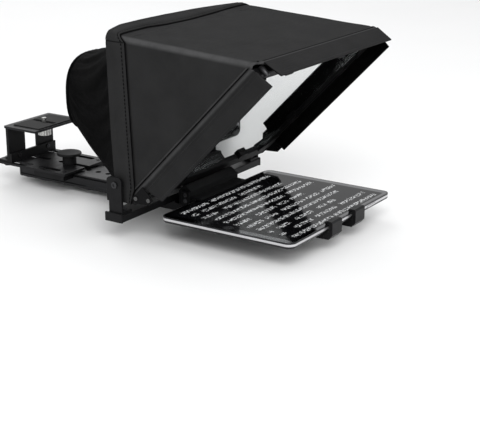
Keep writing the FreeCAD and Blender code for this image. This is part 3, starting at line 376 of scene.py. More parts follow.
def add_object(name, points, faces, material, smooth=True):
    """A new mesh object from points in millimetres."""
    mesh = bpy.data.meshes.new(name)
    places = [tuple(point) for point in np.asarray(points, float) * MM]
    mesh.from_pydata(places, [], [tuple(map(int, face)) for face in faces])
    mesh.materials.append(material)
    for polygon in mesh.polygons:
        polygon.use_smooth = smooth
    mesh.validate()
    mesh.update()
    item = bpy.data.objects.new(name, mesh)
    bpy.context.scene.collection.objects.link(item)
    return item


def grid_faces(rows, columns):
    """The faces between neighbouring rows of points."""
    faces = []
    for i in range(rows - 1):
        for j in range(columns - 1):
            a = i * columns + j
            b = a + columns
            faces.append((a, a + 1, b + 1, b))
    return faces


def ring_faces(rings, count):
    """The faces between neighbouring closed rings of points."""
    faces = []
    for ring in range(rings - 1):
        for index in range(count):
            a, b = ring * count + index, ring * count + (index + 1) % count
            faces.append((a, b, b + count, a + count))
    return faces


def settle(item, body, replaced=()):
    """Hand a finished piece to its body, and hide the CAD nodes it stands for."""
    if body:
        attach(item, body)
    if replaced:
        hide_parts(*replaced)
    return item


def thicken(item, thickness_mm, inner=None):
    """Give a sheet its thickness, with a lining on its inner face where one is named."""
    solid = item.modifiers.new("thickness", "SOLIDIFY")
    solid.thickness = thickness_mm * MM
    solid.offset = -1.0
    if inner:
        item.data.materials.append(inner)
        solid.material_offset = 1
    return item


def ridge(value, centre, width):
    """A smooth bump of height 1 about a centre."""
    return np.exp(-((value - centre) / width) ** 2)


def unevenness(points, seed, size_mm, amount):
    """Gentle, repeatable waves over a set of points."""
    rng = np.random.default_rng(seed)
    total = np.zeros(len(points))
    for _ in range(7):
        direction = rng.normal(size=3)
        direction /= np.linalg.norm(direction)
        turn = 2 * math.pi / (size_mm * rng.uniform(0.6, 1.8))
        total += np.sin(points @ direction * turn + rng.uniform(0, 2 * math.pi))
    return total / 7 * amount


def stitches(name, line, outward, body, pitch=3.6, length=2.4, width=0.62, height=0.34, thread=None):
    """A run of sewn thread: a small rounded stitch every pitch along a line on the cloth."""
    line = np.asarray(line, float)
    outward = np.asarray(outward, float)
    steps = np.linalg.norm(np.diff(line, axis=0), axis=1)
    travelled = np.concatenate([[0.0], np.cumsum(steps)])
    count = int(travelled[-1] // pitch)
    points, faces = [], []
    for index in range(count):
        middle = (index + 0.5) * pitch
        spot = np.array([np.interp(middle, travelled, line[:, k]) for k in range(3)])
        ahead = np.array([np.interp(middle + 0.6, travelled, line[:, k]) for k in range(3)]) - spot
        ahead /= max(np.linalg.norm(ahead), 1e-9)
        up = np.array([np.interp(middle, travelled, outward[:, k]) for k in range(3)])
        up /= np.linalg.norm(up)
        across = np.cross(ahead, up)
        first = len(points)
        for along, swell in ((-0.5, 0.35), (-0.28, 1.0), (0.28, 1.0), (0.5, 0.35)):
            for turn in range(6):
                angle = turn * math.pi / 3
                aside = across * math.cos(angle) * width / 2 * swell
                raised = up * (math.sin(angle) * height * swell)
                points.append(spot + ahead * along * length + aside + raised)
        for ring in range(3):
            for turn in range(6):
                a = first + ring * 6 + turn
                b = first + ring * 6 + (turn + 1) % 6
                faces.append((a, b, b + 6, a + 6))
        faces.append(tuple(first + turn for turn in reversed(range(6))))
        faces.append(tuple(first + 18 + turn for turn in range(6)))
    item = add_object(name, points, faces, thread or THREAD)
    return settle(item, body)


def pillow(name, quad, thickness, material, rim=1.6, seams=(), swell=0.0, cells=(18, 90), seed=1,
           under=None):
    """A flat sewn panel with rounded edges, between four corners, closed all round."""
    quad = [np.asarray(corner, float) for corner in quad]
    near, far, far_end, near_end = quad
    out = np.cross(far - near, near_end - near)
    out /= np.linalg.norm(out)
    width, length = np.linalg.norm(far - near), np.linalg.norm(near_end - near)

    def shares(count, extent):
        edge = np.array([0.0, 0.08, 0.3, 0.65, 1.0]) * rim / extent
        inner = np.linspace(edge[-1], 1 - edge[-1], count)[1:-1]
        return np.concatenate([edge, inner, 1 - edge[::-1]])

    across, along = shares(cells[0], width), shares(cells[1], length)
    rows, columns = len(along), len(across)
    a, b = np.meshgrid(across, along)
    a, b = a.ravel()[:, None], b.ravel()[:, None]
    middle = (near * (1 - a) + far * a) * (1 - b) + (near_end * (1 - a) + far_end * a) * b
    from_edge = np.minimum(np.minimum(a, 1 - a) * width, np.minimum(b, 1 - b) * length)[:, 0]
    inward = np.clip(from_edge / rim, 0, 1)
    half = thickness / 2 * np.sqrt(np.clip(1 - (1 - inward) ** 2, 0, 1))
    half = half + swell * np.clip(from_edge / (width / 2), 0, 1) * (inward > 0)
    for distance, depth, spread in seams:
        half = half - depth * ridge(from_edge, distance, spread) * (inward > 0)
    half = np.maximum(half, 0.0)
    wave = unevenness(middle, seed, 46.0, 0.35) * inward
    top = middle + out * (half + wave)[:, None]
    bottom = middle - out * (half - wave)[:, None]
    points = np.concatenate([top, bottom])
    faces = grid_faces(rows, columns)
    upper_count = len(faces)
    faces += [tuple(len(top) + k for k in reversed(face)) for face in faces]
    item = add_object(name, points, faces, material)
    if under:
        item.data.materials.append(under)
        for polygon in item.data.polygons[upper_count:]:
            polygon.material_index = 1
    weld = item.modifiers.new("weld", "WELD")
    weld.merge_threshold = 0.00002
    return item


# ---------------- finishes

# the hood cloth carries painted highlights along its fold and hem crest
HOOD_CLOTH = cloth("hood_cloth", (0.0135, 0.0135, 0.0138), (0.0195, 0.0195, 0.0198), highlights_and_join_lines=hood_painted_highlights)
FLAP_CLOTH = cloth("flap_cloth", (0.0125, 0.0125, 0.0128), (0.018, 0.018, 0.0183))
HOOD_LINING = cloth("hood_lining", (0.0018, 0.0018, 0.0019), (0.0032, 0.0032, 0.0033), rough=0.92,
                    gloss=0.01)
SLEEVE_CLOTH = cloth("sleeve_cloth", (0.0012, 0.0012, 0.0013), (0.0024, 0.0024, 0.0025), pitch_mm=0.9,
                     rough=0.6, crease=0.8, gloss=0.008)
BINDING = cloth("binding_tape", (0.0145, 0.0145, 0.0148), (0.021, 0.021, 0.0213), pitch_mm=1.5,
                highlights_and_join_lines=tape_lines)
# near-black thread for stitches, also used for the dark cords laid in seam grooves as painted shade
DARK_THREAD_AND_SHADE = cloth("dark_thread_and_painted_shade", (0.0012, 0.0012, 0.0013), (0.0024, 0.0024, 0.0025), pitch_mm=0.6,
                    gloss=0.01)
THREAD = cloth("sewing_thread", (0.026, 0.026, 0.0265), (0.038, 0.038, 0.0385), pitch_mm=0.6)
# paler cloth for the rolled hem edges: a painted highlight along their rounded tops
ROLLED_EDGE_HIGHLIGHT_CLOTH = cloth("rolled_edge_painted_highlight", (0.03, 0.03, 0.0305), (0.046, 0.046, 0.0465), pitch_mm=0.9)
BLACK_METAL = anodised("black_anodised", (0.007, 0.007, 0.0075), 0.42, metallic=0.5, gloss=0.18)
FRAME_METAL = anodised("frame_anodised", (0.004, 0.004, 0.0043), 0.55, metallic=0.05, gloss=0.06)
RAIL_METAL = anodised("rail_anodised", (0.018, 0.018, 0.0192), 0.36, (1.0, 0.12, 1.0), metallic=0.7,
                      gloss=0.3)
PLATE_METAL = anodised("plate_anodised", (0.013, 0.013, 0.014), 0.38, (0.2, 1.0, 1.0), metallic=0.6,
                       gloss=0.2)
TUBE_METAL = anodised("tube_anodised", (0.045, 0.045, 0.047), 0.45)
BLACK_STEEL = plated("black_steel", (0.05, 0.05, 0.053), 0.36)
ZINC_STEEL = plated("zinc_steel", (0.62, 0.62, 0.6), 0.27)
BLACK_PLASTIC = moulded("black_plastic", (0.005, 0.005, 0.0054), gloss=0.16)
RUBBER = rubber("black_rubber", (0.012, 0.012, 0.012))
DULL_ZINC = plated("dull_zinc", (0.13, 0.13, 0.13), 0.4)

FINISHES = {
    "black_anodised": BLACK_METAL, "black_plastic": BLACK_PLASTIC, "black_steel": BLACK_STEEL,
    "zinc_steel": ZINC_STEEL, "rubber": RUBBER, "coated_glass": silvered_glass(),
    "hood_fabric": HOOD_CLOTH, "sleeve_fabric": SLEEVE_CLOTH, "silver_case": case_metal(),
    "screen_glass": moulded("key_glass", (0.012, 0.012, 0.013), 0.18, 300.0),
}
SPECIAL = {
    "tablet_screen": screen_material(), "rail": RAIL_METAL, "camera_plate": PLATE_METAL,
    "camera_deck": PLATE_METAL, "hood_corner_screws": DULL_ZINC, "hood_corner_plates": FRAME_METAL,
    "glass_frame_bottom": FRAME_METAL, "glass_frame_top": FRAME_METAL, "glass_frame_left": FRAME_METAL,
    "glass_frame_right": FRAME_METAL, "frame_gussets": FRAME_METAL, "glass_clips": FRAME_METAL,
    "tablet_clamp_bar": FRAME_METAL, "clamp_end_plates": FRAME_METAL,
}
for entry in frame["record"]["subparts"]:
    node = NODES[entry["node"]]
    finish_for_node = SPECIAL.get(entry["node"], FINISHES[entry["material_slot"]])
    node.data.materials.clear()
    node.data.materials.append(finish_for_node)


# ---------------- hood cover

# The side panels' front and rear edges: (share of the way up, (Y, Z)).
FRONT_EDGE = [(0.0, (-68.6, 39.2)), (0.10, leant(15.0, 13.0)), (0.955, leant(15.0, 235.5)),
              (0.985, (-230.6, 221.3)), (1.0, (-232.0, 222.1))]
REAR_EDGE = [(0.0, (-50.0, 39.7)), (0.08, (-39.0, 55.0)), (0.17, (-37.0, 71.0)), (0.42, (-34.0, 121.0)),
             (1.0, (ROOF_REAR, PANEL_REAR_TOP))]
SEAM_TOP, SEAM_BOTTOM = (-57.7, 240.0), (-67.3, 55.0)  # (Y, Z) where the binding is sewn on
ROOF_SEAM = ((-140.0, -49.0), (-130.0, -46.3), (-79.0, -46.0), (-46.0, -49.6), (0.0, -51.0),
             (50.0, -48.4), (111.0, -43.4), (140.0, -42.0))  # (X, Y) of the same seam on the roof
ROOF_HEM_SEAM = 6.2  # the groove behind the roof's front hem, from the edge
# The ridges and grooves sewn along the side hems and the roof's front: (height, place, width).
SIDE_HEM = ((1.7, HEM_CREST, 2.3), (-1.3, HEM_SEAM, 0.8), (-0.9, 9.6, 0.9), (0.5, 12.6, 1.5))
ROOF_HEM = ((0.6, 2.6, 1.8), (-0.7, ROOF_HEM_SEAM, 0.8))
HEM_REACH = 30.0  # the part of the cover that the hems shape, from its front edge
BINDING_GROOVE = (-3.6, -2.4, -1.6, -0.8, 0.2)  # rows of points about the groove before the binding
# The binding's cross-section: (share of its width, height above the cover).
BINDING_PROFILE = (
    (0.0, -1.6), (0.0, 0.5), (0.012, 1.0), (0.045, 1.15), (0.085, 1.05), (0.12, 0.75), (0.15, 0.0),
    (0.18, 0.05), (0.215, 0.75), (0.28, 1.25), (0.36, 1.55), (0.46, 1.45), (0.58, 1.1), (0.7, 0.8),
    (0.82, 0.65), (0.9, 0.75), (0.95, 0.6), (0.985, 0.1), (1.0, -0.7), (0.985, -2.0), (0.95, -2.9),
    (0.85, -3.2), (0.7, -3.3), (0.7, -2.2))
STITCHED_SHARE = 0.165  # where the binding's stitches run, in its groove


def along_knots(knots, share):
    """(Y, Z) a share of the way up an edge."""
    at = [knot[0] for knot in knots]
    return np.array([np.interp(share, at, [knot[1][k] for knot in knots]) for k in range(2)])


def roof_height(y, x=SIDE_X):
    """The roof's height: a straight fall to the front, and an edge that arches up at the rear."""
    level = np.interp(y, [p[0] for p in ROOF_LINE], [p[1] for p in ROOF_LINE])
    arch = np.interp(x, [p[0] for p in CROWN], [p[1] for p in CROWN])
    return level + arch * np.clip((y - ARCH_START) / (ROOF_REAR - ARCH_START), 0.0, 1.0) ** 1.3


def roof_front(x):
    """The roof's front edge, cut back at its two corners."""
    beyond = (abs(x) - CORNER_CUT_X) / (SIDE_X - CORNER_CUT_X)
    return ROOF_FRONT + CORNER_CUT_DEPTH * np.clip(beyond, 0.0, 1.0)


def cover_rows(side_count, roof_count):
    """The cover's cross-section from the left side's foot, over the roof, to the right one's."""
    shares = np.concatenate([np.linspace(0, 0.9, side_count), np.linspace(0.9, 1, 18)[1:]])
    angles = np.radians([12, 24, 36, 48, 60, 75, 90])
    flat = np.linspace(-(SIDE_X - FOLD_RADIUS), SIDE_X - FOLD_RADIUS, roof_count)[1:-1]
    rows = [("side", -1, share) for share in shares] + [("fold", -1, angle) for angle in angles]
    rows += [("roof", 0, x) for x in flat]
    rows += [("fold", 1, angle) for angle in angles[::-1]]
    rows += [("side", 1, share) for share in shares[::-1]]
    return rows


def cover_point(row, share, out=0.0):
    """A point of the cover: a row, a share of the way from front to rear, and a height above it."""
    kind, side, value = row
    if kind == "side":
        y, z = along_knots(FRONT_EDGE, value) * (1 - share) + along_knots(REAR_EDGE, value) * share
        top_y = roof_front(SIDE_X) + (ROOF_REAR - roof_front(SIDE_X)) * share
        top_z = PANEL_FRONT_TOP + (PANEL_REAR_TOP - PANEL_FRONT_TOP) * share
        lift = np.clip((value - 0.6) / 0.4, 0, 1) ** 2
        z = z + lift * (roof_height(top_y) - FOLD_RADIUS - top_z)
        return np.array([side * (SIDE_X + out), y, z])
    x = value
    if kind == "fold":
        x = side * (SIDE_X - FOLD_RADIUS + (FOLD_RADIUS + out) * math.cos(value))
        out = out * math.sin(value) - FOLD_RADIUS * (1 - math.sin(value))
    front = roof_front(x)
    y = front + (ROOF_REAR - front) * share
    return np.array([x, y, roof_height(y, x) + out])


def cover_outward(row):
    """The direction straight out of the cover along a row."""
    kind, side, value = row
    if kind == "side":
        return np.array([side, 0.0, 0.0])
    if kind == "fold":
        return np.array([side * math.cos(value), 0.0, math.sin(value)])
    return np.array([0.0, 0.0, 1.0])


def binding_share(row):
    """The share along a row where the rear binding's seam crosses it."""
    shares = np.linspace(0.4, 1, 201)
    spots = np.array([cover_point(row, share) for share in shares])
    side_seam = np.interp(spots[:, 2], [SEAM_BOTTOM[1], SEAM_TOP[1]], [SEAM_BOTTOM[0], SEAM_TOP[0]])
    roof_seam = np.interp(spots[:, 0], [p[0] for p in ROOF_SEAM], [p[1] for p in ROOF_SEAM])
    on_roof = {"side": 0.0, "fold": math.sin(row[2]), "roof": 1.0}[row[0]]
    seam_y = side_seam * (1 - on_roof) + roof_seam * on_roof
    return float(np.interp(0.0, spots[:, 1] - seam_y, shares))


def make_cover():
    """One continuous lined sheet: left side, roof and right side, hemmed along its front."""
    rows = cover_rows(64, 52)
    dense, plain = 26, 31
    columns = dense + plain - 1 + len(BINDING_GROOVE)
    points, outward, hems = [], [], []
    for row in rows:
        front, rear = cover_point(row, 0.0), cover_point(row, 1.0)
        length = np.linalg.norm(rear - front)
        reach = min(HEM_REACH, length / 2)
        out = cover_outward(row)
        start = binding_share(row)
        distances = np.sort(np.concatenate([np.linspace(0, reach, dense),
                                            np.linspace(reach, length, plain)[1:],
                                            start * length + np.array(BINDING_GROOVE)]))
        for distance in distances:
            spot = cover_point(row, distance / length)
            if row[0] == "side":
                ahead = in_front(spot[1], spot[2])
                fade = np.clip((row[2] - 0.06) / 0.06, 0, 1)
                hem = fade * sum(height * ridge(ahead, *place) for height, *place in SIDE_HEM)
            else:
                hem = sum(height * ridge(distance, *place) for height, *place in ROOF_HEM)
            groove = 1.1 * ridge(distance, start * length - 1.2, 1.3)
            points.append(spot)
            outward.append(out)
            hems.append(hem - groove - CLOTH_SINK)
    points, outward = np.array(points), np.array(outward)
    height = np.array(hems) + unevenness(points, 5, 70.0, 0.55) + unevenness(points, 6, 25.0, 0.12)
    points = points + outward * height[:, None]
    faces = [face[::-1] for face in grid_faces(len(rows), columns)]
    item = add_object("hood_cover", points, faces, HOOD_CLOTH)
    thicken(item, CLOTH_THICKNESS, HOOD_LINING)
    return settle(item, "hood", ["hood_left_side", "hood_right_side", "hood_top"])


def make_binding():
    """The folded band sewn round the cover's rear edge, wrapped over it to the inside."""
    rows = cover_rows(60, 46)
    points = []
    for row in rows:
        start = binding_share(row)
        for share, height in BINDING_PROFILE:
            spot = cover_point(row, start + (1 - start) * share)
            if row[0] == "side" and height > 0:
                height -= 0.9 * ridge(spot[2], BAND_JOIN_Z, 1.1)
            points.append(cover_point(row, start + (1 - start) * share, height))
    points = np.array(points)
    out = np.repeat(np.array([cover_outward(row) for row in rows]), len(BINDING_PROFILE), axis=0)
    points = points + out * unevenness(points, 9, 30.0, 0.2)[:, None]
    item = add_object("rear_binding", points, grid_faces(len(rows), len(BINDING_PROFILE)), BINDING)
    settle(item, "hood")
    line, outward = [], []
    for row in rows:
        start = binding_share(row)
        line.append(cover_point(row, start + (1 - start) * STITCHED_SHARE, 0.25))
        outward.append(cover_outward(row))
    stitches("rear_binding_stitches", line, outward, "hood", pitch=4.6, length=2.7, width=1.3,
             height=0.5, thread=DARK_THREAD_AND_SHADE)
    return item


def seam_cord(name, line, outward, width, height=0.5, fabric=None):
    """A thin cord lying along a line on the cloth: dark, as painted shade in a sewn groove, or a rolled
    edge of cloth, paler as a painted highlight.
    """
    line, outward = np.asarray(line, float), np.asarray(outward, float)
    ahead = np.gradient(line, axis=0)
    ahead /= np.linalg.norm(ahead, axis=1)[:, None]
    across = np.cross(ahead, outward)
    across /= np.linalg.norm(across, axis=1)[:, None]
    sides = 8
    points = []
    for spot, side, up in zip(line, across, outward):
        for turn in np.linspace(0, 2 * math.pi, sides, endpoint=False):
            points.append(spot + side * (math.cos(turn) * width / 2) + up * (math.sin(turn) * height))
    faces = [(a, d, c, b) for a, b, c, d in ring_faces(len(line), sides)]
    faces += [tuple(range(sides)), tuple(range((len(line) - 1) * sides, len(line) * sides))[::-1]]
    settle(add_object(name, points, faces, fabric or DARK_THREAD_AND_SHADE), "hood")


def make_seam_cords():
    """Painted shade as dark cords in the grooves of the cover's main seams, and the rolled edges of its
    hems beside them in paler cloth as a painted highlight.
    """
    # painted shade: a dark cord along the groove in front of the rear binding
    line, outward = [], []
    for row in cover_rows(60, 46):
        start = binding_share(row)
        front, rear = cover_point(row, 0.0), cover_point(row, 1.0)
        line.append(cover_point(row, start - 0.7 / np.linalg.norm(rear - front), -0.35))
        outward.append(cover_outward(row))
    seam_cord("binding_seam_shade", line, outward, 1.7)
    for name, side in (("left", -1), ("right", 1)):
        # painted shade: a dark cord in the groove behind the side hem
        line = [(side * (SIDE_X - 1.15), *leant(HEM_SEAM, up)) for up in np.linspace(-8.0, 229.0, 80)]
        seam_cord(f"{name}_hem_seam_shade", line, [(side, 0.0, 0.0)] * len(line), 0.9)
        # the hem's rolled edge, in paler cloth as a painted highlight
        line = [(side * (SIDE_X - 0.75), *leant(-0.2, up)) for up in np.linspace(-2.0, 228.0, 80)]
        seam_cord(f"{name}_hem_piping", line, [(side, 0.0, 0.0)] * len(line), 1.5, 0.75, ROLLED_EDGE_HIGHLIGHT_CLOTH)
    reach = SIDE_X - FOLD_RADIUS - 2.0
    across = np.linspace(-reach, reach, 60)
    # the roof's front seam as a dark cord of painted shade, and its rolled edge in paler cloth as a
    # painted highlight
    for name, behind, height, fabric in (("roof_front_seam_shade", ROOF_HEM_SEAM, 0.5, DARK_THREAD_AND_SHADE),
                                         ("roof_front_piping", 3.6, 0.9, ROLLED_EDGE_HIGHLIGHT_CLOTH)):
        line = [(x, roof_front(x) + behind, roof_height(roof_front(x) + behind) - 0.2) for x in across]
        seam_cord(name, line, [(0.0, 0.0, 1.0)] * len(line), 2.3, height, fabric)


def make_hem_stitches():
    """Two runs of thread along each side hem, and one at each end of the roof."""
    for name, side in (("left", -1), ("right", 1)):
        for index, ahead in enumerate((-1.4, 11.6)):
            spots = [leant(ahead, up) for up in np.linspace(0.0, 222.0, 60)]
            line = [(side * (SIDE_X - 0.55), y, z) for y, z in spots]
            stitches(f"{name}_hem_stitches_{index}", line, [(side, 0, 0)] * len(line), "hood")
    reach = SIDE_X - FOLD_RADIUS - 4.0
    for index, y in enumerate((-236.0, -62.5)):
        line = [(x, y, roof_height(y) - 0.5) for x in np.linspace(-reach, reach, 40)]
        stitches(f"roof_stitches_{index}", line, [(0, 0, 1)] * len(line), "hood")


def make_floor_panel():
    """The padded strip that joins the two side panels' feet."""
    reach, front, rear, height = 137.4, -62.8, -39.8, 40.1
    quad = [(-reach, front, height), (-reach, rear, height), (reach, rear, height),
            (reach, front, height)]
    item = pillow("hood_floor_panel", quad, 2.8, HOOD_LINING, rim=1.2, seams=((3.0, 0.4, 0.5),),
                  cells=(10, 60))
    settle(item, "hood", ["hood_bottom"])


# ---------------- flaps

FLAP_PLANE = 139.8  # the middle of a side flap's thickness, along X
FLAP_ROOT, FLAP_TIP = 13.0, 34.9  # its two long edges, in front of the glass
FLAP_FOLD, FLAP_HINGE_X = 15.5, 138.0  # the fold line, in front of the glass and out from the middle
FOLD_START, FOLD_WIDTH = 14.0, 2.4  # where the cloth takes the folded-in angle
FLAP_STITCH_LINE, FLAP_STITCH_HEIGHT = 31.6, 1.45
FLAP_SEAMS = ((3.2, 0.45, 0.55),)  # the groove round a flap: (from the edge, depth, width)
TOP_DROOP = math.radians(31.5)
TOP_OUT = (-math.cos(TOP_DROOP), -math.sin(TOP_DROOP))  # (Y, Z) away from the roof, along the flap
TOP_UP = (-math.sin(TOP_DROOP), math.cos(TOP_DROOP))  # (Y, Z) out of its upper face
TOP_HINGE = (-244.6, 226.8)  # (Y, Z) of its fold
TOP_HALF, TOP_TAPER = 130.0, 2.0
TOP_ROOT, TOP_TIP = -3.4, 21.4  # its two long edges, out from the fold
TOP_STITCH_LINE, TOP_STITCH_HEIGHT = 18.2, 1.4


def folded_in(points, side):
    """Points of a side flap, turned in over the glass about its fold."""
    points = np.asarray(points, float).copy()
    ahead = in_front(points[:, 1], points[:, 2])
    turn = SIDE_FLAP_FOLD[side] * np.clip((ahead - FOLD_START) / FOLD_WIDTH, 0.0, 1.0)
    reach = ahead - FLAP_FOLD
    beyond = points[:, 0] * side - FLAP_HINGE_X
    moved = reach * np.cos(turn) + beyond * np.sin(turn) - reach
    points[:, 0] += side * (beyond * np.cos(turn) - reach * np.sin(turn) - beyond)
    points[:, 1] += moved * FORWARD[0]
    points[:, 2] += moved * FORWARD[1]
    return points


def make_side_flaps():
    """Stiffened cloth flaps that fold in over the glass, each hanging on the hem by its own cloth."""
    for name, side in (("left", -1), ("right", 1)):
        x = side * FLAP_PLANE
        corners = [leant(FLAP_ROOT, 15.4), leant(FLAP_TIP, 23.2), leant(FLAP_TIP, 239.6),
                   leant(FLAP_ROOT, 235.2)]
        quad = [(x, *corner) for corner in corners]
        if side > 0:
            quad = [quad[3], quad[2], quad[1], quad[0]]
        item = pillow(f"{name}_flap_cloth", quad, 3.0, FLAP_CLOTH, rim=1.5, seams=FLAP_SEAMS, swell=0.15,
                      seed=20 + side, under=HOOD_LINING)
        points = np.array([vertex.co for vertex in item.data.vertices]) / MM
        item.data.vertices.foreach_set("co", (folded_in(points, side) * MM).astype(np.float32).ravel())
        item.data.update()
        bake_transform(item)
        settle(item, None, [f"{name}_flap"])
        ups = np.linspace(24.0, 234.0, 60)
        for face, out, thread in (("outer", 1, THREAD), ("inner", -1, DARK_THREAD_AND_SHADE)):
            across = side * (FLAP_PLANE + out * FLAP_STITCH_HEIGHT)
            line = folded_in([(across, *leant(FLAP_STITCH_LINE, up)) for up in ups], side)
            stitches(f"{name}_flap_{face}_stitches", line, [(side * out, 0, 0)] * len(line),
                     f"flap_{name}", thread=thread)


def top_flap_place(out, up=0.0):
    """(Y, Z) of a point of the top flap: out from its fold and up from its middle."""
    return [TOP_HINGE[k] + TOP_OUT[k] * out + TOP_UP[k] * up for k in range(2)]


def make_top_flap():
    """The stiffened flap that hangs from the roof's front edge."""
    near, far = top_flap_place(TOP_ROOT), top_flap_place(TOP_TIP)
    inner = TOP_HALF - TOP_TAPER
    quad = [(-TOP_HALF, *near), (-inner, *far), (inner, *far), (TOP_HALF, *near)]
    item = pillow("top_flap_cloth", quad, 2.8, FLAP_CLOTH, rim=1.4, seams=FLAP_SEAMS, swell=0.15,
                  seed=31, under=HOOD_LINING)
    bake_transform(item)
    settle(item, None, ["top_flap"])
    place = top_flap_place(TOP_STITCH_LINE, TOP_STITCH_HEIGHT)
    line = [(x, *place) for x in np.linspace(-124, 124, 50)]
    stitches("top_flap_stitches", line, [(0, *TOP_UP)] * len(line), "flap_top")


def make_corner_tubes():
    """The frame's two short spacer tubes, seen in the open corners between roof and side flaps."""
    sides, radius, bore, closed = 32, 3.4, 2.0, 0.02
    tube_x, tube_up = 127.0, 235.3
    rings = ((6.0, closed), (6.0, radius), (18.5, radius), (19.2, radius - 0.6), (19.3, bore),
             (11.0, bore), (11.0, closed))  # (in front of the glass, radius)
    for name, side in (("left", -1), ("right", 1)):
        points = []
        for ahead, reach in rings:
            for index in range(sides):
                turn = 2 * math.pi * index / sides
                y, z = leant(ahead, tube_up + reach * math.sin(turn))
                points.append((side * (tube_x + reach * math.cos(turn)), y, z))
        item = add_object(f"{name}_corner_tube", points, ring_faces(len(rings), sides), TUBE_METAL)
        settle(item, "hood")


# ---------------- lens sleeve

SLEEVE_REAR, SLEEVE_MOUTH, SLEEVE_THICKNESS = -39.0, 105.0, 0.9
# Each of these is (at the hood, at the mouth, how late it changes).
SLEEVE_HALF_WIDTH = (133.0, 54.0, 1.4)
SLEEVE_LOW = (45.5, 79.0, 1.9)
SLEEVE_HIGH = (231.0, 185.0, 1.8)
HEADER_HALF, HEADER_FOOT = 135.0, (-38.6, 227.5)  # half its width, and (Y, Z) of its lower edge
DRAPE_STEPS, DRAPE_LIMIT = 12, 7.0  # how long the cloth settles, and how far it may move


def narrowed(ends, share):
    """A measure of the sleeve, a share of the way to its mouth."""
    return ends[0] + (ends[1] - ends[0]) * share ** ends[2]


def sleeve_ring(y, count):
    """A cross-section of the sleeve: square-cornered at the hood, rounder as it narrows to the lens."""
    share = (y - SLEEVE_REAR) / (SLEEVE_MOUTH - SLEEVE_REAR)
    share = min(max(share, 0.0), 1.0)
    width = narrowed(SLEEVE_HALF_WIDTH, share)
    low, high = narrowed(SLEEVE_LOW, share), narrowed(SLEEVE_HIGH, share)
    middle, tall = (low + high) / 2, (high - low) / 2
    power = 5.0 - 2.4 * share + 15.0 * (1.0 - share) ** 9
    turn = np.linspace(0, 2 * math.pi, count, endpoint=False)
    c, s = np.cos(turn), np.sin(turn)
    radius = (np.abs(c) ** power + np.abs(s) ** power) ** (-1 / power)
    ring = np.stack([width * radius * c, np.full(count, y), middle + tall * radius * s], axis=1)
    return turn, ring, middle


def make_sleeve():
    """Light-proof cloth gathered from the hood's back to an elastic mouth, then draped."""
    count, rings = 220, 54
    rng = np.random.default_rng(14)
    gathers = [(k, rng.uniform(0, 2 * math.pi), rng.uniform(0.5, 1.0)) for k in (9, 14, 19, 27, 38)]
    points = []
    for index in range(rings):
        share = index / (rings - 1)
        y = SLEEVE_REAR + (SLEEVE_MOUTH - SLEEVE_REAR) * share
        turn, ring, middle = sleeve_ring(y, count)
        inward = np.stack([-ring[:, 0], np.zeros(count), middle - ring[:, 2]], axis=1)
        inward /= np.linalg.norm(inward, axis=1)[:, None]
        fold = sum(weight * np.sin(k * turn + phase + 1.3 * share) for k, phase, weight in gathers) / 3.0
        depth = 4.2 * math.sin(math.pi * min(share * 1.15, 1.0)) ** 0.8 + 1.3 * share
        sag = 3.2 * math.sin(math.pi * share)
        points.append(ring + inward * (depth * (0.5 + 0.5 * fold) + sag)[:, None])
    points = np.array(points).reshape(-1, 3)
    item = add_object("lens_sleeve", points, ring_faces(rings, count), SLEEVE_CLOTH)
    drape(item, points, count)
    thicken(item, SLEEVE_THICKNESS)
    item.modifiers.new("smooth", "SUBSURF").render_levels = 1
    return settle(item, "hood", ["sleeve_top", "sleeve_bottom", "sleeve_sides"])


def make_header():
    """The strip of sleeve cloth that closes the gap between the hood's arched rear and the sleeve."""
    columns, rows = 61, 5
    points = []
    for x in np.linspace(-HEADER_HALF, HEADER_HALF, columns):
        top = (ROOF_REAR - 4.5, roof_height(ROOF_REAR, x) - 3.4)
        for share in np.linspace(0.0, 1.0, rows):
            points.append((x, *(top[k] * (1 - share) + HEADER_FOOT[k] * share for k in range(2))))
    item = add_object("sleeve_header", points, grid_faces(columns, rows), SLEEVE_CLOTH)
    thicken(item, SLEEVE_THICKNESS)
    return settle(item, "hood")


def drape(item, points, count):
    """Let the sleeve hang between its two sewn ends for a moment, and keep the result."""
    held = item.vertex_groups.new(name="held")
    held.add(list(range(count)) + list(range(len(points) - count, len(points))), 1.0, "REPLACE")
    cloth_modifier = item.modifiers.new("drape", "CLOTH")
    settings = cloth_modifier.settings
    settings.quality = 6
    settings.mass = 0.12
    settings.tension_stiffness = 12.0
    settings.compression_stiffness = 12.0
    settings.bending_stiffness = 0.15
    settings.vertex_group_mass = "held"
    settings.effector_weights.gravity = 0.25
    cloth_modifier.collision_settings.use_self_collision = False
    scene = bpy.context.scene
    for step in range(DRAPE_STEPS):
        scene.frame_set(step + 1)
    evaluated = item.evaluated_get(bpy.context.evaluated_depsgraph_get())
    hung = np.array([v.co for v in evaluated.data.vertices], float) / MM
    item.modifiers.remove(cloth_modifier)
    scene.frame_set(1)
    shift = hung - points
    size = np.linalg.norm(shift, axis=1)
    shift *= np.minimum(1.0, DRAPE_LIMIT / np.maximum(size, 1e-9))[:, None]
    item.data.vertices.foreach_set("co", ((points + shift) * MM).astype(np.float32).ravel())
    item.data.update()


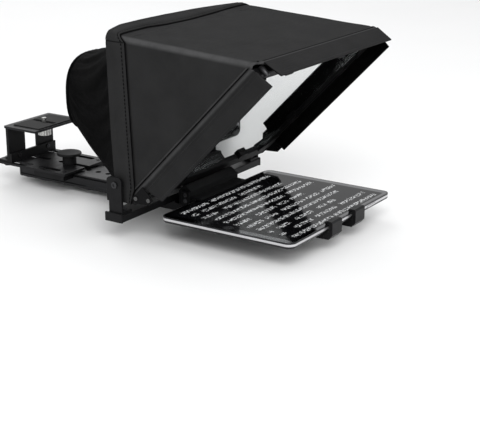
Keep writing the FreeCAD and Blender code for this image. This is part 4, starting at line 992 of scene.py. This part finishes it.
def make_mouth():
    """The elastic hem at the sleeve's mouth: a gathered tube of cloth."""
    count, ring_count = 260, 12
    turn, ring, middle = sleeve_ring(SLEEVE_MOUTH, count)
    inward = np.stack([-ring[:, 0], np.zeros(count), middle - ring[:, 2]], axis=1)
    inward /= np.linalg.norm(inward, axis=1)[:, None]
    gather = 0.55 * np.sin(46 * turn) + 0.3 * np.sin(71 * turn + 1.0)
    half_thick, half_long = 2.1, 4.3
    tucked_in, set_back = 2.6, 3.0
    points = []
    for j in range(count):
        core = ring[j] + inward[j] * tucked_in + np.array([0.0, set_back, 0.0])
        swell = 1.0 + 0.12 * gather[j]
        for k in range(ring_count):
            angle = 2 * math.pi * k / ring_count
            points.append(core - inward[j] * math.cos(angle) * half_thick * swell
                          + np.array([0.0, math.sin(angle) * half_long, 0.0]))
    faces = []
    for j in range(count):
        here, there = j * ring_count, ((j + 1) % count) * ring_count
        for k in range(ring_count):
            after = (k + 1) % ring_count
            faces.append((here + k, here + after, there + after, there + k))
    item = add_object("sleeve_mouth_hem", points, faces, SLEEVE_CLOTH)
    return settle(item, "hood", ["sleeve_hem"])


cover = make_cover()
binding = make_binding()
make_seam_cords()
make_hem_stitches()
make_floor_panel()
make_side_flaps()
make_top_flap()
make_corner_tubes()
sleeve = make_sleeve()
header = make_header()
mouth = make_mouth()

# ---------------- camera, floor and light

camera_data = bpy.data.cameras.new("view")
camera_data.lens = 94.06
camera_data.sensor_width = 36.0
camera_data.clip_start, camera_data.clip_end = 0.05, 50.0
camera = bpy.data.objects.new("view", camera_data)
camera.location = (-1.2534, -0.957, 0.495)
camera.rotation_mode = "QUATERNION"
AZIMUTH, FALL = math.radians(56.4), math.radians(18.6)  # where the view looks
look = Vector((math.sin(AZIMUTH) * math.cos(FALL), math.cos(AZIMUTH) * math.cos(FALL), -math.sin(FALL)))
camera.rotation_quaternion = look.to_track_quat("-Z", "Y")
bpy.context.scene.collection.objects.link(camera)
bpy.context.scene.camera = camera

FLOOR_Z, FLOOR_HALF = -8.0, 6000.0
PAPER_WHITE, PAPER_PALER = (0.80, 0.80, 0.80), (0.83, 0.83, 0.83)
floor_shader = Shader("pale_floor", Roughness=0.7)
floor_shader.colour(floor_shader.mix(floor_shader.noise(3.0, 2.0, 0.5), PAPER_WHITE, PAPER_PALER))
floor_corners = [(-FLOOR_HALF, -FLOOR_HALF, FLOOR_Z), (FLOOR_HALF, -FLOOR_HALF, FLOOR_Z),
                 (FLOOR_HALF, FLOOR_HALF, FLOOR_Z), (-FLOOR_HALF, FLOOR_HALF, FLOOR_Z)]
floor = add_object("floor", floor_corners, [(0, 1, 2, 3)], floor_shader.material, smooth=False)


def softbox(name, location, target, extent, power):
    """A rectangular lamp turned to face its target."""
    light = bpy.data.lights.new(name, "AREA")
    light.shape = "RECTANGLE"
    light.size, light.size_y = extent
    light.energy = power
    item = bpy.data.objects.new(name, light)
    item.location = location
    item.rotation_mode = "QUATERNION"
    item.rotation_quaternion = (Vector(target) - Vector(location)).to_track_quat("-Z", "Y")
    bpy.context.scene.collection.objects.link(item)


softbox("key", (-1.6, -1.4, 1.9), (0.0, -0.05, 0.1), (1.6, 1.2), 46.0)
softbox("fill", (0.6, -2.2, 1.0), (0.0, -0.1, 0.1), (1.4, 1.4), 16.0)
softbox("rim", (1.2, 1.6, 1.8), (0.0, 0.0, 0.15), (1.6, 1.0), 14.0)
world = bpy.data.worlds.new("studio")
world.use_nodes = True
sky = world.node_tree.nodes["Background"]
sky.inputs["Color"].default_value = (0.93, 0.935, 0.94, 1.0)
sky.inputs["Strength"].default_value = 0.85
bpy.context.scene.world = world
bpy.context.scene.view_settings.view_transform = "Standard"
